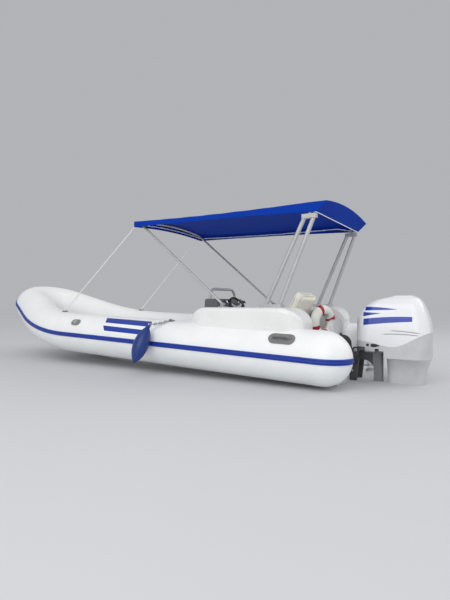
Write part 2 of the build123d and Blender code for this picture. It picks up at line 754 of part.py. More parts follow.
with BuildPart() as foot_port:
    cheek = EYE_HALF + CHEEK_GAP + CHEEK_T / 2
    with Locations((bow_pivot.X, bow_pivot.Y, pod_top + BOW_FOOT[2] / 2)):
        Box(*BOW_FOOT)
    for side in (-1, 1):
        with BuildSketch(Plane.XZ.offset(-(bow_pivot.Y + side * cheek + CHEEK_T / 2))):
            with Locations((bow_pivot.X, (pod_top + bow_pivot.Z) / 2)):
                Rectangle(2 * EYE_R, BOW_PIVOT_UP)
            with Locations((bow_pivot.X, bow_pivot.Z)):
                Circle(EYE_R)
        extrude(amount=CHEEK_T)
    with BuildSketch(Plane.XZ.offset(-(bow_pivot.Y + cheek))):
        with Locations((bow_pivot.X, bow_pivot.Z)):
            Circle(PIVOT_R)
    extrude(amount=2 * cheek)

with BuildPart() as foot_starboard:
    mirror(foot_port.part, about=Plane.XZ)

with BuildPart() as front_bow:
    with BuildSketch(Plane(origin=bow_pivot, z_dir=leg_dir)):
        Circle(EYE_HALF)
    extrude(amount=4 * EYE_R)
    with BuildSketch(Plane(origin=bow_pivot + leg_dir * (1.4 * EYE_R), z_dir=leg_dir)):
        Circle(BOW_R)
    extrude(amount=(bow_corner - bow_pivot).length - 1.4 * EYE_R)
    with BuildSketch(Plane.XZ.offset(-(bow_pivot.Y + EYE_HALF))):
        with Locations((bow_pivot.X, bow_pivot.Z)):
            Circle(EYE_R - 2)
    extrude(amount=2 * EYE_HALF)
    with BuildSketch(Plane.XZ.offset(-(bow_pivot.Y + 2 * EYE_R))):
        with Locations((bow_pivot.X, bow_pivot.Z)):
            Circle(PIVOT_R + RUN_GAP)
    extrude(amount=4 * EYE_R, mode=Mode.SUBTRACT)
    with Locations(bow_corner):
        Sphere(BOW_R)
    mirror(about=Plane.XZ)
    with BuildLine() as bow_path:
        ThreePointArc(bow_corner, bow_mid, Vector(bow_corner.X, -bow_y, bow_corner.Z))
    with BuildSketch(Plane(origin=bow_path.line @ 0, z_dir=bow_path.line % 0)):
        Circle(BOW_R)
    sweep(path=bow_path.line)

# Canopy: a crowned sheet with a skirt that narrows forward, open below and in front
canopy_len = CANOPY_X1 - CANOPY_X0
hem_z = CANOPY_EDGE - CANOPY_DROP

with BuildPart() as canopy:
    for inset, mode in ((0.0, Mode.ADD), (CANOPY_T, Mode.SUBTRACT)):
        half = CANOPY_HALF - inset
        edge = crown_z + sqrt((crown_r - inset) ** 2 - half**2)
        low = hem_z - 10 - 5 * inset
        with BuildSketch(station(CANOPY_X0 + inset)):
            with BuildLine():
                ThreePointArc(
                    (-half, edge),
                    (0, CANOPY_EDGE + CANOPY_CROWN - inset),
                    (half, edge),
                )
                Polyline(
                    (half, edge),
                    (half, low),
                    (-half, low),
                    (-half, edge),
                )
            make_face()
        extrude(amount=canopy_len, dir=Vector(1, 0, CANOPY_RISE), mode=mode)
    with BuildSketch(Plane.XZ.offset(-2 * CANOPY_HALF)):
        with BuildLine():
            slope = CANOPY_RISE + CANOPY_TAPER
            Polyline(
                (CANOPY_X0 - CANOPY_DROP, hem_z - CANOPY_DROP * slope),
                (CANOPY_X1 + CANOPY_DROP, hem_z + (canopy_len + CANOPY_DROP) * slope),
                (CANOPY_X1 + CANOPY_DROP, hem_z - CANOPY_DROP),
                (CANOPY_X0 - CANOPY_DROP, hem_z - CANOPY_DROP),
                close=True,
            )
        make_face()
    extrude(amount=4 * CANOPY_HALF, mode=Mode.SUBTRACT)

# Front stays from the hoop's corners down to pads on the tubes
about_shoulder = Axis((0, 0, 0), shoulder_axis)
stay_spot = shoulder_c + (turn_in - shoulder_c).rotate(about_shoulder, STAY_TURN)
stay_run = run.rotate(about_shoulder, STAY_TURN)
stay_up = (Vector(0, 0, 1) - stay_run * stay_run.Z).normalized()
stay_foot = stay_spot + stay_up * (TUBE_R + PAD_T + STAY_R + SEAT_GAP)
stay_head = bow_corner + Vector(0, BOW_R + STAY_R + 2 * SEAT_GAP, 0)

with BuildPart() as stay_pad_port:
    with BuildSketch(Plane(origin=stay_spot + stay_up * (TUBE_R - 4 * PAD_T), z_dir=stay_up)):
        Circle(STAY_PAD_R)
    extrude(amount=5 * PAD_T)
    add(tube_room.part, mode=Mode.SUBTRACT)

with BuildPart() as stay_pad_starboard:
    mirror(stay_pad_port.part, about=Plane.XZ)

with BuildPart() as stay_port:
    with BuildSketch(Plane(origin=stay_foot, z_dir=stay_head - stay_foot)):
        Circle(STAY_R)
    extrude(amount=(stay_head - stay_foot).length)

with BuildPart() as stay_starboard:
    mirror(stay_port.part, about=Plane.XZ)

# Clamp bracket: two plates hooked over the transom with the tilt tube between them
hook_x = TRANSOM_T + CLAMP_GRIP
hook_z = TRANSOM_TOP + CLAMP_HOOK

elbow_z = PIVOT_Z - 2.5 * CLAMP_HUB

with BuildPart() as clamp_bracket:
    # the port plate's back is eased at the hub, the starboard plate's at the elbow
    for y0, eased_z in ((CLAMP_IN, PIVOT_Z), (-CLAMP_OUT, elbow_z)):
        with BuildSketch(Plane.XZ.offset(-(y0 + CLAMP_OUT - CLAMP_IN))) as plate:
            with BuildLine():
                Polyline(
                    (0, CLAMP_LOW),
                    (-CLAMP_DEEP, CLAMP_LOW),
                    (PIVOT_X - CLAMP_HUB, elbow_z),
                    (PIVOT_X - CLAMP_HUB, PIVOT_Z),
                    (PIVOT_X + CLAMP_HUB, PIVOT_Z),
                    (PIVOT_X + CLAMP_HUB, hook_z),
                    (hook_x, hook_z),
                    (hook_x, TRANSOM_TOP - CLAMP_REACH),
                    (TRANSOM_T + SEAT_GAP, TRANSOM_TOP - CLAMP_REACH),
                    (TRANSOM_T + SEAT_GAP, TRANSOM_TOP + SEAT_GAP),
                    (0, TRANSOM_TOP + SEAT_GAP),
                    close=True,
                )
            make_face()
            back = plate.vertices().group_by(Axis.X)[0]
            eased = back.filter_by(lambda v: abs(v.Y - eased_z) < 1)
            fillet(eased + plate.vertices().group_by(Axis.Y)[0], CLAMP_ROUND)
            with Locations((PIVOT_X, PIVOT_Z)):
                Circle(CLAMP_HUB)
        extrude(amount=CLAMP_OUT - CLAMP_IN)
    with BuildSketch(Plane.XZ.offset(-CLAMP_OUT)):
        with Locations((PIVOT_X, PIVOT_Z)):
            Circle(TILT_R)
    extrude(amount=2 * CLAMP_OUT)

# Swivel bracket: hub on the tilt tube, an arm that turns down and the tube that the motor steers in
crook_x = STEER_X + SWIVEL_TUBE

with BuildPart() as swivel_bracket:
    with BuildSketch(Plane.XZ.offset(-SWIVEL_HALF)):
        with Locations((PIVOT_X, PIVOT_Z)):
            Circle(SWIVEL_HUB)
    extrude(amount=2 * SWIVEL_HALF)
    with BuildSketch(Plane.XZ.offset(-SWIVEL_TUBE)) as arm:
        with BuildLine():
            Polyline(
                (PIVOT_X + SWIVEL_HUB / 2, PIVOT_Z),
                (PIVOT_X - SWIVEL_HUB / 2, SWIVEL_ARM),
                (crook_x, SWIVEL_ARM),
                (crook_x, SWIVEL_Z0),
                (STEER_X, SWIVEL_Z0),
                (STEER_X, SWIVEL_Z1),
                (PIVOT_X, SWIVEL_Z1),
                close=True,
            )
        make_face()
        crook = arm.vertices().filter_by(lambda v: abs(v.X - crook_x) < 1).sort_by(Axis.Y)[-1]
        fillet(crook, SWIVEL_CROOK)
    extrude(amount=2 * SWIVEL_TUBE)
    with BuildSketch(Plane.XY.offset(SWIVEL_Z0)):
        with Locations((STEER_X, 0)):
            Circle(SWIVEL_TUBE)
    extrude(amount=SWIVEL_Z1 - SWIVEL_Z0)
    with BuildSketch(Plane.XY.offset(SWIVEL_Z0 - SWIVEL_TUBE)):
        with Locations((STEER_X, 0)):
            Circle(STEER_R + RUN_GAP)
    extrude(amount=SWIVEL_Z1 - SWIVEL_Z0 + 2 * SWIVEL_TUBE, mode=Mode.SUBTRACT)
    with BuildSketch(Plane.XZ.offset(-2 * SWIVEL_HALF)):
        with Locations((PIVOT_X, PIVOT_Z)):
            Circle(TILT_R + RUN_GAP)
    extrude(amount=4 * SWIVEL_HALF, mode=Mode.SUBTRACT)

# Steering yoke: king pin with an upper and a lower arm to the leg
with BuildPart() as steering_yoke:
    with BuildSketch(Plane.XY.offset(SWIVEL_Z0 - YOKE_T - SEAT_GAP)):
        with Locations((STEER_X, 0)):
            Circle(STEER_R)
    extrude(amount=SWIVEL_Z1 - SWIVEL_Z0 + 2 * YOKE_T + 2 * SEAT_GAP)
    for z in (SWIVEL_Z0 - YOKE_T - SEAT_GAP, SWIVEL_Z1 + SEAT_GAP):
        with BuildSketch(Plane.XY.offset(z)):
            with Locations(((STEER_X + LEG_X1) / 2, 0)):
                Rectangle(STEER_X - LEG_X1, 2 * SWIVEL_TUBE)
            with Locations((STEER_X, 0)):
                Circle(SWIVEL_TUBE)
        extrude(amount=YOKE_T)

yoke_top = SWIVEL_Z1 + SEAT_GAP + YOKE_T

cowl_mid = (COWL_X0 + COWL_X1) / 2
cowl_foot = COWL_TOP - COWL_ROWS[0][0]
bay = (COWL_X1 - COWL_X0 - 4 * COWL_WALL, 2 * (COWL_HALF - COWL_WALL))

# Cowl: a stack of rounded outlines, cut along the split line and hollow over the powerhead
with BuildPart() as motor_cowl:
    for down, aft, fore, side, corner in COWL_ROWS:
        with BuildSketch(Plane.XY.offset(COWL_TOP - down)):
            with Locations((cowl_mid + (aft - fore) / 2, 0)):
                RectangleRounded(COWL_X1 - COWL_X0 - aft - fore, 2 * (COWL_HALF - side), corner)
    loft()
    with BuildSketch(Plane.XZ.offset(-2 * COWL_HALF)):
        with BuildLine():
            Spline(*COWL_SPLIT)
            Polyline(
                COWL_SPLIT[-1],
                (COWL_SPLIT[-1][0], cowl_foot - COWL_WALL),
                (COWL_SPLIT[0][0], cowl_foot - COWL_WALL),
                COWL_SPLIT[0],
            )
        make_face()
    extrude(amount=4 * COWL_HALF, mode=Mode.SUBTRACT)
    with BuildSketch(Plane.XY.offset(cowl_foot)):
        with Locations((cowl_mid, 0)):
            Rectangle(*bay)
    extrude(amount=POWER_Z + POWER_H + 10 - cowl_foot, mode=Mode.SUBTRACT)

# Leg: an apron up to the split line with a plinth for the powerhead, drawn in to a slim shaft
apron_z, apron_x = LEG_ROWS[0][0], STEER_X - SWIVEL_TUBE
plinth_x = cowl_mid - bay[0] / 2 + 10
lip_z = PIVOT_Z + CLAMP_HUB + LIP_CLEAR

with BuildPart() as motor_leg:
    with BuildSketch(Plane.XZ.offset(-COWL_HALF)):
        with BuildLine():
            Spline(*COWL_SPLIT)
            Polyline(
                COWL_SPLIT[-1],
                (COWL_SPLIT[-1][0], apron_z),
                (COWL_SPLIT[0][0], apron_z),
                COWL_SPLIT[0],
            )
        make_face()
    extrude(amount=2 * COWL_HALF)
    with BuildSketch(Plane.XY.offset(apron_z)):
        with Locations((cowl_mid, 0)):
            RectangleRounded(COWL_X1 - COWL_X0 - 8, 2 * COWL_HALF - 8, COWL_R)
    extrude(amount=COWL_TOP - apron_z, mode=Mode.INTERSECT)
    with BuildSketch(Plane.XZ.offset(-2 * COWL_HALF)):
        with BuildLine():
            Polyline(
                (LEG_X1, apron_z),
                (LEG_X1, yoke_top),
                (apron_x, yoke_top),
                (apron_x, lip_z),
                (0, lip_z),
                (0, apron_z),
                close=True,
            )
        make_face()
    extrude(amount=4 * COWL_HALF, mode=Mode.SUBTRACT)
    with BuildSketch(Plane.XY.offset(yoke_top)):
        with Locations(((plinth_x + apron_x) / 2, 0)):
            Rectangle(apron_x - plinth_x, bay[1] - 20)
    extrude(amount=POWER_Z - yoke_top)
    with BuildSketch(Plane.XY.offset(POWER_Z)):
        with Locations((cowl_mid, 0)):
            Rectangle(*bay)
    extrude(amount=COWL_TOP - POWER_Z, mode=Mode.SUBTRACT)
    for z, aft_x, length, width, corner in LEG_ROWS:
        with BuildSketch(Plane.XY.offset(z)):
            with Locations((aft_x + length / 2, 0)):
                RectangleRounded(length, width, corner)
    loft()

with BuildPart() as powerhead:
    with BuildSketch(Plane.XY.offset(POWER_Z)):
        with Locations((cowl_mid, 0)):
            Rectangle(bay[0] - 20, bay[1] - 20)
    extrude(amount=POWER_H)

# Gearcase: anti-ventilation plate, strut, torpedo and skeg
gear_top = LEG_ROWS[-1][0]

with BuildPart() as gearcase:
    with BuildSketch(Plane.XY.offset(gear_top - PLATE_T)) as vent_plate:
        with Locations(((PLATE_X0 + PLATE_X1) / 2, 0)):
            Rectangle(PLATE_X1 - PLATE_X0, 2 * PLATE_HALF)
        lead = vent_plate.vertices().group_by(Axis.X)[-1]
        chamfer(lead, length=1.2 * PLATE_HALF, length2=0.6 * PLATE_HALF)
        fillet(vent_plate.vertices().group_by(Axis.X)[0], PLATE_HALF / 4)
    extrude(amount=PLATE_T)
    with BuildSketch(Plane.XY.offset(gear_top - PLATE_T)):
        with Locations((STRUT_X, 0)):
            RectangleRounded(*STRUT_HEAD)
    with BuildSketch(Plane.XY.offset(PROP_Z)):
        with Locations((STRUT_X, 0)):
            RectangleRounded(*STRUT_FOOT)
    loft(ruled=True)
    with BuildSketch(Plane(origin=(GEAR_X0, 0, PROP_Z), z_dir=(1, 0, 0))):
        Circle(GEAR_R)
    extrude(amount=GEAR_X1 - GEAR_R - GEAR_X0)
    with Locations((GEAR_X1 - GEAR_R, 0, PROP_Z)):
        Sphere(GEAR_R)
    with BuildSketch(Plane.XZ.offset(-SKEG_T / 2)):
        with BuildLine():
            Polyline(
                (SKEG_TOP[0], PROP_Z),
                (SKEG_TIP[0], SKEG_Z),
                (SKEG_TIP[1], SKEG_Z),
                (SKEG_TOP[1], PROP_Z),
                close=True,
            )
        make_face()
    extrude(amount=SKEG_T)
    with BuildSketch(Plane(origin=(GEAR_X0, 0, PROP_Z), z_dir=(1, 0, 0))):
        Circle(PROP_SHAFT_R + RUN_GAP)
    extrude(amount=6 * PROP_SHAFT_R, mode=Mode.SUBTRACT)

# Propeller: shaft, hub and blades whose pitch eases towards the tip
prop_root = Vector(GEAR_X0 - 1 - PROP_HUB_L / 2, 0, PROP_Z)

with BuildPart() as propeller:
    with BuildSketch(Plane(origin=(GEAR_X0 + 5 * PROP_SHAFT_R, 0, PROP_Z), z_dir=(-1, 0, 0))):
        Circle(PROP_SHAFT_R)
    extrude(amount=6 * PROP_SHAFT_R)
    with BuildSketch(Plane(origin=(GEAR_X0 - 1, 0, PROP_Z), z_dir=(-1, 0, 0))):
        Circle(PROP_HUB_R)
    extrude(amount=PROP_HUB_L)
    for k in range(PROP_BLADES):
        spoke = Vector(0, 1, 0).rotate(Axis.X, 360 / PROP_BLADES * k + 90)
        round_hub = spoke.cross(Vector(1, 0, 0))
        for share, chord, thickness, pitch in BLADE_ROWS:
            slant = round_hub.rotate(Axis((0, 0, 0), spoke), pitch)
            row = prop_root + spoke * (share * PROP_R)
            with BuildSketch(Plane(origin=row, x_dir=slant, z_dir=spoke)):
                Ellipse(chord / 2, thickness / 2)
        loft()


def lug(at, out, bore):
    """Eye that stands out from a face, with its hole along the bore's direction."""
    with BuildPart() as eye:
        with BuildSketch(Plane(origin=at - bore * (LUG_T / 2), x_dir=out, z_dir=bore)):
            with Locations((LUG_R, 0)):
                Rectangle(2 * LUG_R, 2 * LUG_R)
            with Locations((2 * LUG_R, 0)):
                Circle(LUG_R)
                Circle(LUG_HOLE, mode=Mode.SUBTRACT)
        extrude(amount=LUG_T)
    return eye.part


stem_a, stem_b = HULL_ROWS[-2], HULL_ROWS[-1]
stem_mid = Vector((stem_a[0] + stem_b[0]) / 2, 0, (stem_a[1] + stem_b[1]) / 2)
stem_dir = Vector(stem_b[0] - stem_a[0], 0, stem_b[1] - stem_a[1]).normalized()
stem_out = Vector(stem_dir.Z, 0, -stem_dir.X)

with BuildPart() as bow_eye:
    add(lug(stem_mid - stem_out * 6, stem_out, Vector(0, 1, 0)))
    add(hull.part, mode=Mode.SUBTRACT)

with BuildPart() as stern_eye_port:
    add(lug(Vector(0, STERN_LUG_Y, STERN_LUG_Z), Vector(-1, 0, 0), Vector(0, 0, 1)))

with BuildPart() as stern_eye_starboard:
    mirror(stern_eye_port.part, about=Plane.XZ)

with BuildPart() as rigging_hose:
    with BuildLine() as hose_path:
        FilletPolyline(*HOSE_POINTS, radius=HOSE_BENDS)
    with BuildSketch(Plane(origin=hose_path.line @ 0, z_dir=hose_path.line % 0)):
        Circle(HOSE_R)
    sweep(path=hose_path.line)
    add(clamp_bracket.part, mode=Mode.SUBTRACT)

PIECES = {
    "tube_port": tube_port,
    "tube_starboard": tube_starboard,
    "tube_bow": tube_bow,
    "strake_port": strake_port,
    "strake_starboard": strake_starboard,
    "hull": hull,
    "deck": deck,
    "transom": transom,
    "pod_port": pod_port,
    "pod_starboard": pod_starboard,
    "console": console,
    "console_rail": console_rail,
    "steering_wheel": steering_wheel,
    "seat_base": seat_base,
    "seat_cushion": seat_cushion,
    "backrest": backrest,
    "life_ring": life_ring,
    "fender": fender,
    "fender_line": fender_line,
    "handle_port": handle_port,
    "handle_starboard": handle_starboard,
    "valve_port": valve_port,
    "valve_starboard": valve_starboard,
    "arch_port": arch_port,
    "arch_starboard": arch_starboard,
    "rear_bar": rear_bar,
    "foot_port": foot_port,
    "foot_starboard": foot_starboard,
    "front_bow": front_bow,
    "canopy": canopy,
    "stay_pad_port": stay_pad_port,
    "stay_pad_starboard": stay_pad_starboard,
    "stay_port": stay_port,
    "stay_starboard": stay_starboard,
    "clamp_bracket": clamp_bracket,
    "swivel_bracket": swivel_bracket,
    "steering_yoke": steering_yoke,
    "motor_cowl": motor_cowl,
    "motor_leg": motor_leg,
    "powerhead": powerhead,
    "gearcase": gearcase,
    "propeller": propeller,
    "bow_eye": bow_eye,
    "stern_eye_port": stern_eye_port,
    "stern_eye_starboard": stern_eye_starboard,
    "rigging_hose": rigging_hose,
}

for name, piece in PIECES.items():
    piece.part.label = name
    export_step(piece.part, f"parts/{name}.step")
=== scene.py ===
"""Dresses a rigid-hull inflatable boat: tubes, fibreglass, canvas, vinyl and an outboard motor.

The frame is in metres: +X to the bow, +Y to port, +Z up, with the waterline at z = 0.
"""

import math

import bmesh
import bpy
import numpy as np
from bpy.props import FloatProperty, FloatVectorProperty, PointerProperty
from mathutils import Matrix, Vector


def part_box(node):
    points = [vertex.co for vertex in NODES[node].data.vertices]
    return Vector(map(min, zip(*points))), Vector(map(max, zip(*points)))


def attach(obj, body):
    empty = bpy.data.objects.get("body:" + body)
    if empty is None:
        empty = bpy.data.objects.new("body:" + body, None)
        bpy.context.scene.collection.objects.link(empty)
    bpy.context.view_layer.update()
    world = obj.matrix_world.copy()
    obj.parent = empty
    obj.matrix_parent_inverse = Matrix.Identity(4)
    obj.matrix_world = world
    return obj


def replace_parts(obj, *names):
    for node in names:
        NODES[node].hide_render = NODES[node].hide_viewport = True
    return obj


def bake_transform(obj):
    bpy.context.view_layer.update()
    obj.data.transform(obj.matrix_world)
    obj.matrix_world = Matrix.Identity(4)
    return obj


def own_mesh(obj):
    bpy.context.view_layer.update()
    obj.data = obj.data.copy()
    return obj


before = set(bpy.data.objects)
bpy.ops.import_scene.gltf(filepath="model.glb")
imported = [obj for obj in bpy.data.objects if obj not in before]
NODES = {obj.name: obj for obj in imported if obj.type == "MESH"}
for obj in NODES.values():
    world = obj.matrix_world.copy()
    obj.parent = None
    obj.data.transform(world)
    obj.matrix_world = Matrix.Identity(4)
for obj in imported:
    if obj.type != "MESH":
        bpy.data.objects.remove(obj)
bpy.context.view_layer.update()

bl_info = {
    "name": "Inflatable boat",
    "version": (1, 0, 0),
    "blender": (4, 5, 0),
    "location": "3D View > Sidebar > Boat",
    "description": "Cloth, vinyl, paint and fittings of an inflatable boat",
    "category": "Object",
}

# Port tube: radius, knuckles of its centre line and the radii that round them
TUBE_R = 0.25
TUBE_STERN = (0.037, 0.745, 0.2812)
TUBE_SHOULDER = (3.95, 0.745, 0.41035)
TUBE_NOSE = (5.15, 0.27, 0.811)
SHOULDER_R, NOSE_R = 2.5, 0.38
# Fender: x, out from the tube's side and up from its centre, at each end
FENDER_HEAD, FENDER_FOOT = (1.88, 0.045, 0.18), (1.94, 0.19, -0.192)
# Places on the straight of the tube: x and the angle above outboard
FENDER_EYE = (1.76, math.radians(77))
VALVE_AT = (3.18, math.radians(38))
# Side stripes: x from and to, then the lower and the upper angle in degrees at each end
STRIPES = (
    ((1.97, 2.70), (43.4, 64.4), (45.7, 66.5)),
    ((1.945, 2.655), (19.1, 32.4), (20.8, 35.7)),
)
# Sloping dash: its run and fall, y of the gauges on each side and of the switches
DASH_RUN, DASH_FALL = 0.05, 0.075
GAUGE_Y, SWITCH_Y = 0.13, (-0.25, -0.21, 0.21, 0.25)
# Steering wheel: radius, grip and rake; turn of the life ring; lean of the backrest
WHEEL_R, WHEEL_GRIP, WHEEL_RAKE = 0.15, 0.013, math.radians(28)
RING_TURN, BACK_LEAN = math.radians(18), math.radians(30)
# Swivel bracket's limb: x of its middle, height of its round head's centre and radius
LIMB_X, LIMB_Z, LIMB_R = -0.262, 0.262, 0.0475
# Cowl's button and latch: x, z, half width, half height and taper; half width of the cowl's lip
LATCHES = ((-0.202, 0.371, 0.013, 0.013, 0.0), (-0.272, 0.369, 0.042, 0.014, 0.55))
LIP_HALF = 0.1895
# Bolts of the clamp and nut of its tilt tube: x, z and radius; half width over the clamp's plates
BOLTS = ((-0.03, 0.10, 0.011), (-0.03, -0.02, 0.011), (-0.06, 0.305, 0.019))
CLAMP_HALF = 0.108
# Where the rigging hose leaves the transom
GROMMET_AT = (-0.003, 0.4, 0.455)
# Stage: middle and radius of the floor, places of the two lamps and the point they face
FLOOR_AT, FLOOR_R = (2.4, 0.0, 0.0), 70.0
KEY_AT, BACK_AT, LAMP_AIM = (-0.8, 8.6, 5.2), (-5.0, -4.0, 5.5), (1.6, 0.0, 0.5)
SIDES = (("port", 1.0), ("starboard", -1.0))
MIRROR = np.array((1.0, -1.0, 1.0))


def linear(red, green, blue):
    """Scene-linear colour of a display colour given as 0 to 255."""
    share = np.array((red, green, blue)) / 255
    low, high = share / 12.92, ((share + 0.055) / 1.055) ** 2.4
    return tuple(float(c) for c in np.where(share <= 0.04045, low, high))


def colour(name, text, red, green, blue):
    """Colour setting whose default is a display colour."""
    return FloatVectorProperty(
        name=name, description=text, subtype="COLOR", size=3, min=0, max=1, default=linear(red, green, blue)
    )


def length(name, text, value):
    """Length setting in metres."""
    return FloatProperty(name=name, description=text, default=value, subtype="DISTANCE", unit="LENGTH")


def angle(name, text, degrees):
    """Angle setting whose default is given in degrees."""
    return FloatProperty(
        name=name, description=text, default=math.radians(degrees), subtype="ANGLE", unit="ROTATION"
    )


class BoatColours(bpy.types.PropertyGroup):
    """Colours of the boat's finishes"""

    tube: colour("Tube skin", "Coated fabric of the tubes", 246, 248, 248)
    trim: colour("Trim blue", "Strakes, stripes and decals", 24, 58, 160)
    gelcoat: colour("Gelcoat", "Pods, hull and transom", 240, 241, 240)
    transom: colour("Transom", "Transom board and its wings", 190, 190, 192)
    deck: colour("Deck", "Moulded deck with its grip pattern", 196, 197, 196)
    canopy: colour("Canopy", "Woven canopy cloth", 10, 58, 165)
    hem: colour("Hem", "Tape along the canopy's hem", 244, 247, 252)
    alloy: colour("Alloy", "Arch, hoop and rails", 194, 194, 195)
    foot: colour("Feet", "Hinge feet of the front hoop", 172, 172, 174)
    webbing: colour("Stays", "Front stays", 240, 240, 234)
    console: colour("Console", "Grained console moulding", 104, 104, 107)
    seat: colour("Seat moulding", "Box under the cushions", 168, 166, 167)
    vinyl: colour("Upholstery", "Seat cushion and backrest", 248, 246, 232)
    ring: colour("Life ring", "Cover of the life ring", 238, 238, 232)
    red: colour("Ring bands", "Bands round the life ring", 176, 10, 26)
    fender: colour("Fender", "Fender vinyl", 26, 58, 128)
    fitting: colour("Fittings", "Glued rubber fittings", 128, 128, 128)
    cowl: colour("Cowl", "Painted motor cowl", 240, 242, 245)
    leg: colour("Leg", "Painted motor leg", 200, 201, 203)
    bracket: colour("Bracket", "Swivel and yoke", 124, 125, 127)
    arm: colour("Arm", "Dark clamp and the arm behind the tilt tube", 72, 72, 74)
    hose: colour("Hose", "Rigging hose", 46, 46, 48)
    steel: colour("Steel", "Eyes, chain and fasteners", 200, 201, 203)


class BoatSizes(bpy.types.PropertyGroup):
    """Sizes of the pieces that are added to the frame"""

    strake_height: length("Strake height", "Height of the rub strake", 0.052)
    strake_depth: length("Strake depth", "How far the strake stands off the tube", 0.014)
    tape_width: length("Tape width", "Width of the glued seam tapes", 0.05)
    canopy_edge: length("Canopy edge", "Height of the canopy's rear corners", 1.712)
    canopy_crown: length("Canopy crown", "Rise of the cloth across the boat", 0.055)
    canopy_drop: length("Canopy skirt", "Depth of the skirt at the rear", 0.092)
    canopy_sag: length("Canopy sag", "How far the cloth sinks between its bars", 0.016)
    hem_in: length("Rear hem", "How far the rear hem lies ahead of the rear edge", 0.10)
    cloth_thick: length("Cloth", "Thickness of the canopy cloth", 0.002)
    tape_height: length("Hem tape", "Height of the pale tape inside the skirt", 0.012)
    piping_radius: length("Seat piping", "Radius of the cushions' piping", 0.006)
    stay_radius: length("Stay", "Radius of the front stays", 0.0075)
    chain_wire: length("Chain wire", "Radius of the chain's wire", 0.0055)
    chain_link: length("Chain link", "Outside length of a chain link", 0.05)
    voxel: length("Cushion voxel", "Size of the cells that a cushion is remeshed to", 0.007)
    plump: length("Cushion swell", "Furthest that a cushion's cloth swells", 0.022)
    ring_fat: length("Ring body", "Half of how much wider than thick the life ring's body is", 0.013)
    gauge_radius: length("Gauge", "Radius of the console's gauges", 0.038)


class BoatStage(bpy.types.PropertyGroup):
    """Camera, floor and lights"""

    eye: FloatVectorProperty(
        name="Camera", description="Place of the camera", subtype="XYZ", unit="LENGTH",
        default=(-1.30, 4.466, 0.770),
    )
    heading: angle("Heading", "Turn of the view from athwart to the bow", 32.714)
    pitch: angle("Pitch", "Rise of the view above level", 0.506)
    lens: FloatProperty(
        name="Lens", description="Focal length on a 36 mm long side", unit="CAMERA", default=25.84
    )
    floor: colour("Floor", "Pale floor and backdrop", 206, 208, 211)
    key: FloatProperty(name="Key", description="Power of the large soft lamp", unit="POWER", default=390.0)
    fill: FloatProperty(name="Fill", description="Strength of the light from all round", default=0.72)


# Mesh tools


def unit(vectors):
    """Vectors scaled to a length of one."""
    return vectors / np.linalg.norm(vectors, axis=-1, keepdims=True)


def turned(vectors, axis, angles):
    """Vectors turned about a unit axis: along the axis kept, the rest swung by each angle."""
    angles = np.asarray(angles, float)[..., None]
    along = (vectors @ axis)[..., None] * axis
    return along + (vectors - along) * np.cos(angles) + np.cross(axis, vectors) * np.sin(angles)


def quads(rows, cols, wrap_rows=False, wrap_cols=False):
    """Corner numbers of the cells of a grid, closed round where it wraps."""
    r = np.arange(rows if wrap_rows else rows - 1)[:, None]
    c = np.arange(cols if wrap_cols else cols - 1)[None, :]
    r2, c2 = (r + 1) % rows, (c + 1) % cols
    cells = (r * cols + c, r * cols + c2, r2 * cols + c2, r2 * cols + c)
    return np.stack(np.broadcast_arrays(*cells), -1).reshape(-1, 4)


def add_piece(name, points, faces, finish, body, uv=None, crease=40.0):
    """Object from points and faces: doubles merged, faces turned outwards, smooth up to the crease angle."""
    mesh = bpy.data.meshes.new(name)
    faces = [list(map(int, f)) for f in faces]
    mesh.from_pydata(np.asarray(points, float).reshape(-1, 3).tolist(), [], faces)
    if uv is not None:
        layer = mesh.uv_layers.new(name="UVMap")
        order = np.concatenate([np.asarray(f) for f in faces])
        layer.data.foreach_set("uv", np.asarray(uv, np.float32).reshape(-1, 2)[order].ravel())
    work = bmesh.new()
    work.from_mesh(mesh)
    bmesh.ops.remove_doubles(work, verts=work.verts, dist=1e-6)
    bmesh.ops.recalc_face_normals(work, faces=work.faces)
    work.to_mesh(mesh)
    work.free()
    mesh.shade_smooth()
    mesh.set_sharp_from_angle(angle=math.radians(crease))
    mesh.materials.append(finish)
    piece = bpy.data.objects.new(name, mesh)
    bpy.context.scene.collection.objects.link(piece)
    if body:
        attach(piece, body)
    return piece


def spread(points):
    """Grid coordinates in metres: lengths run along the middle row and column."""
    rows, cols = points.shape[:2]
    down = np.linalg.norm(np.diff(points[:, cols // 2], axis=0), axis=-1)
    across = np.linalg.norm(np.diff(points[rows // 2], axis=0), axis=-1)
    u, v = np.append(0, np.cumsum(down)), np.append(0, np.cumsum(across))
    return np.stack(np.meshgrid(u, v, indexing="ij"), -1)


def add_surface(name, points, finish, body, wrap=(False, False), caps=False, crease=40.0):
    """Object from a grid of points; caps close the first and last rows of a wrapped grid."""
    rows, cols = points.shape[:2]
    faces = quads(rows, cols, *wrap).tolist()
    if caps:
        faces += [list(range(cols))[::-1], list(range((rows - 1) * cols, rows * cols))]
    return add_piece(name, points, faces, finish, body, spread(points), crease)


def add_parts(name, grids, finish, body, wrap=(True, True), crease=40.0):
    """One object from several grids; each keeps its own map in metres, and shared edge points weld."""
    faces, uv, points, count = [], [], [], 0
    for grid in grids:
        rows, cols = grid.shape[:2]
        faces += (quads(rows, cols, *wrap) + count).tolist()
        uv.append(spread(grid).reshape(-1, 2))
        points.append(grid.reshape(-1, 3))
        count += rows * cols
    return add_piece(name, np.concatenate(points), faces, finish, body, np.concatenate(uv), crease)


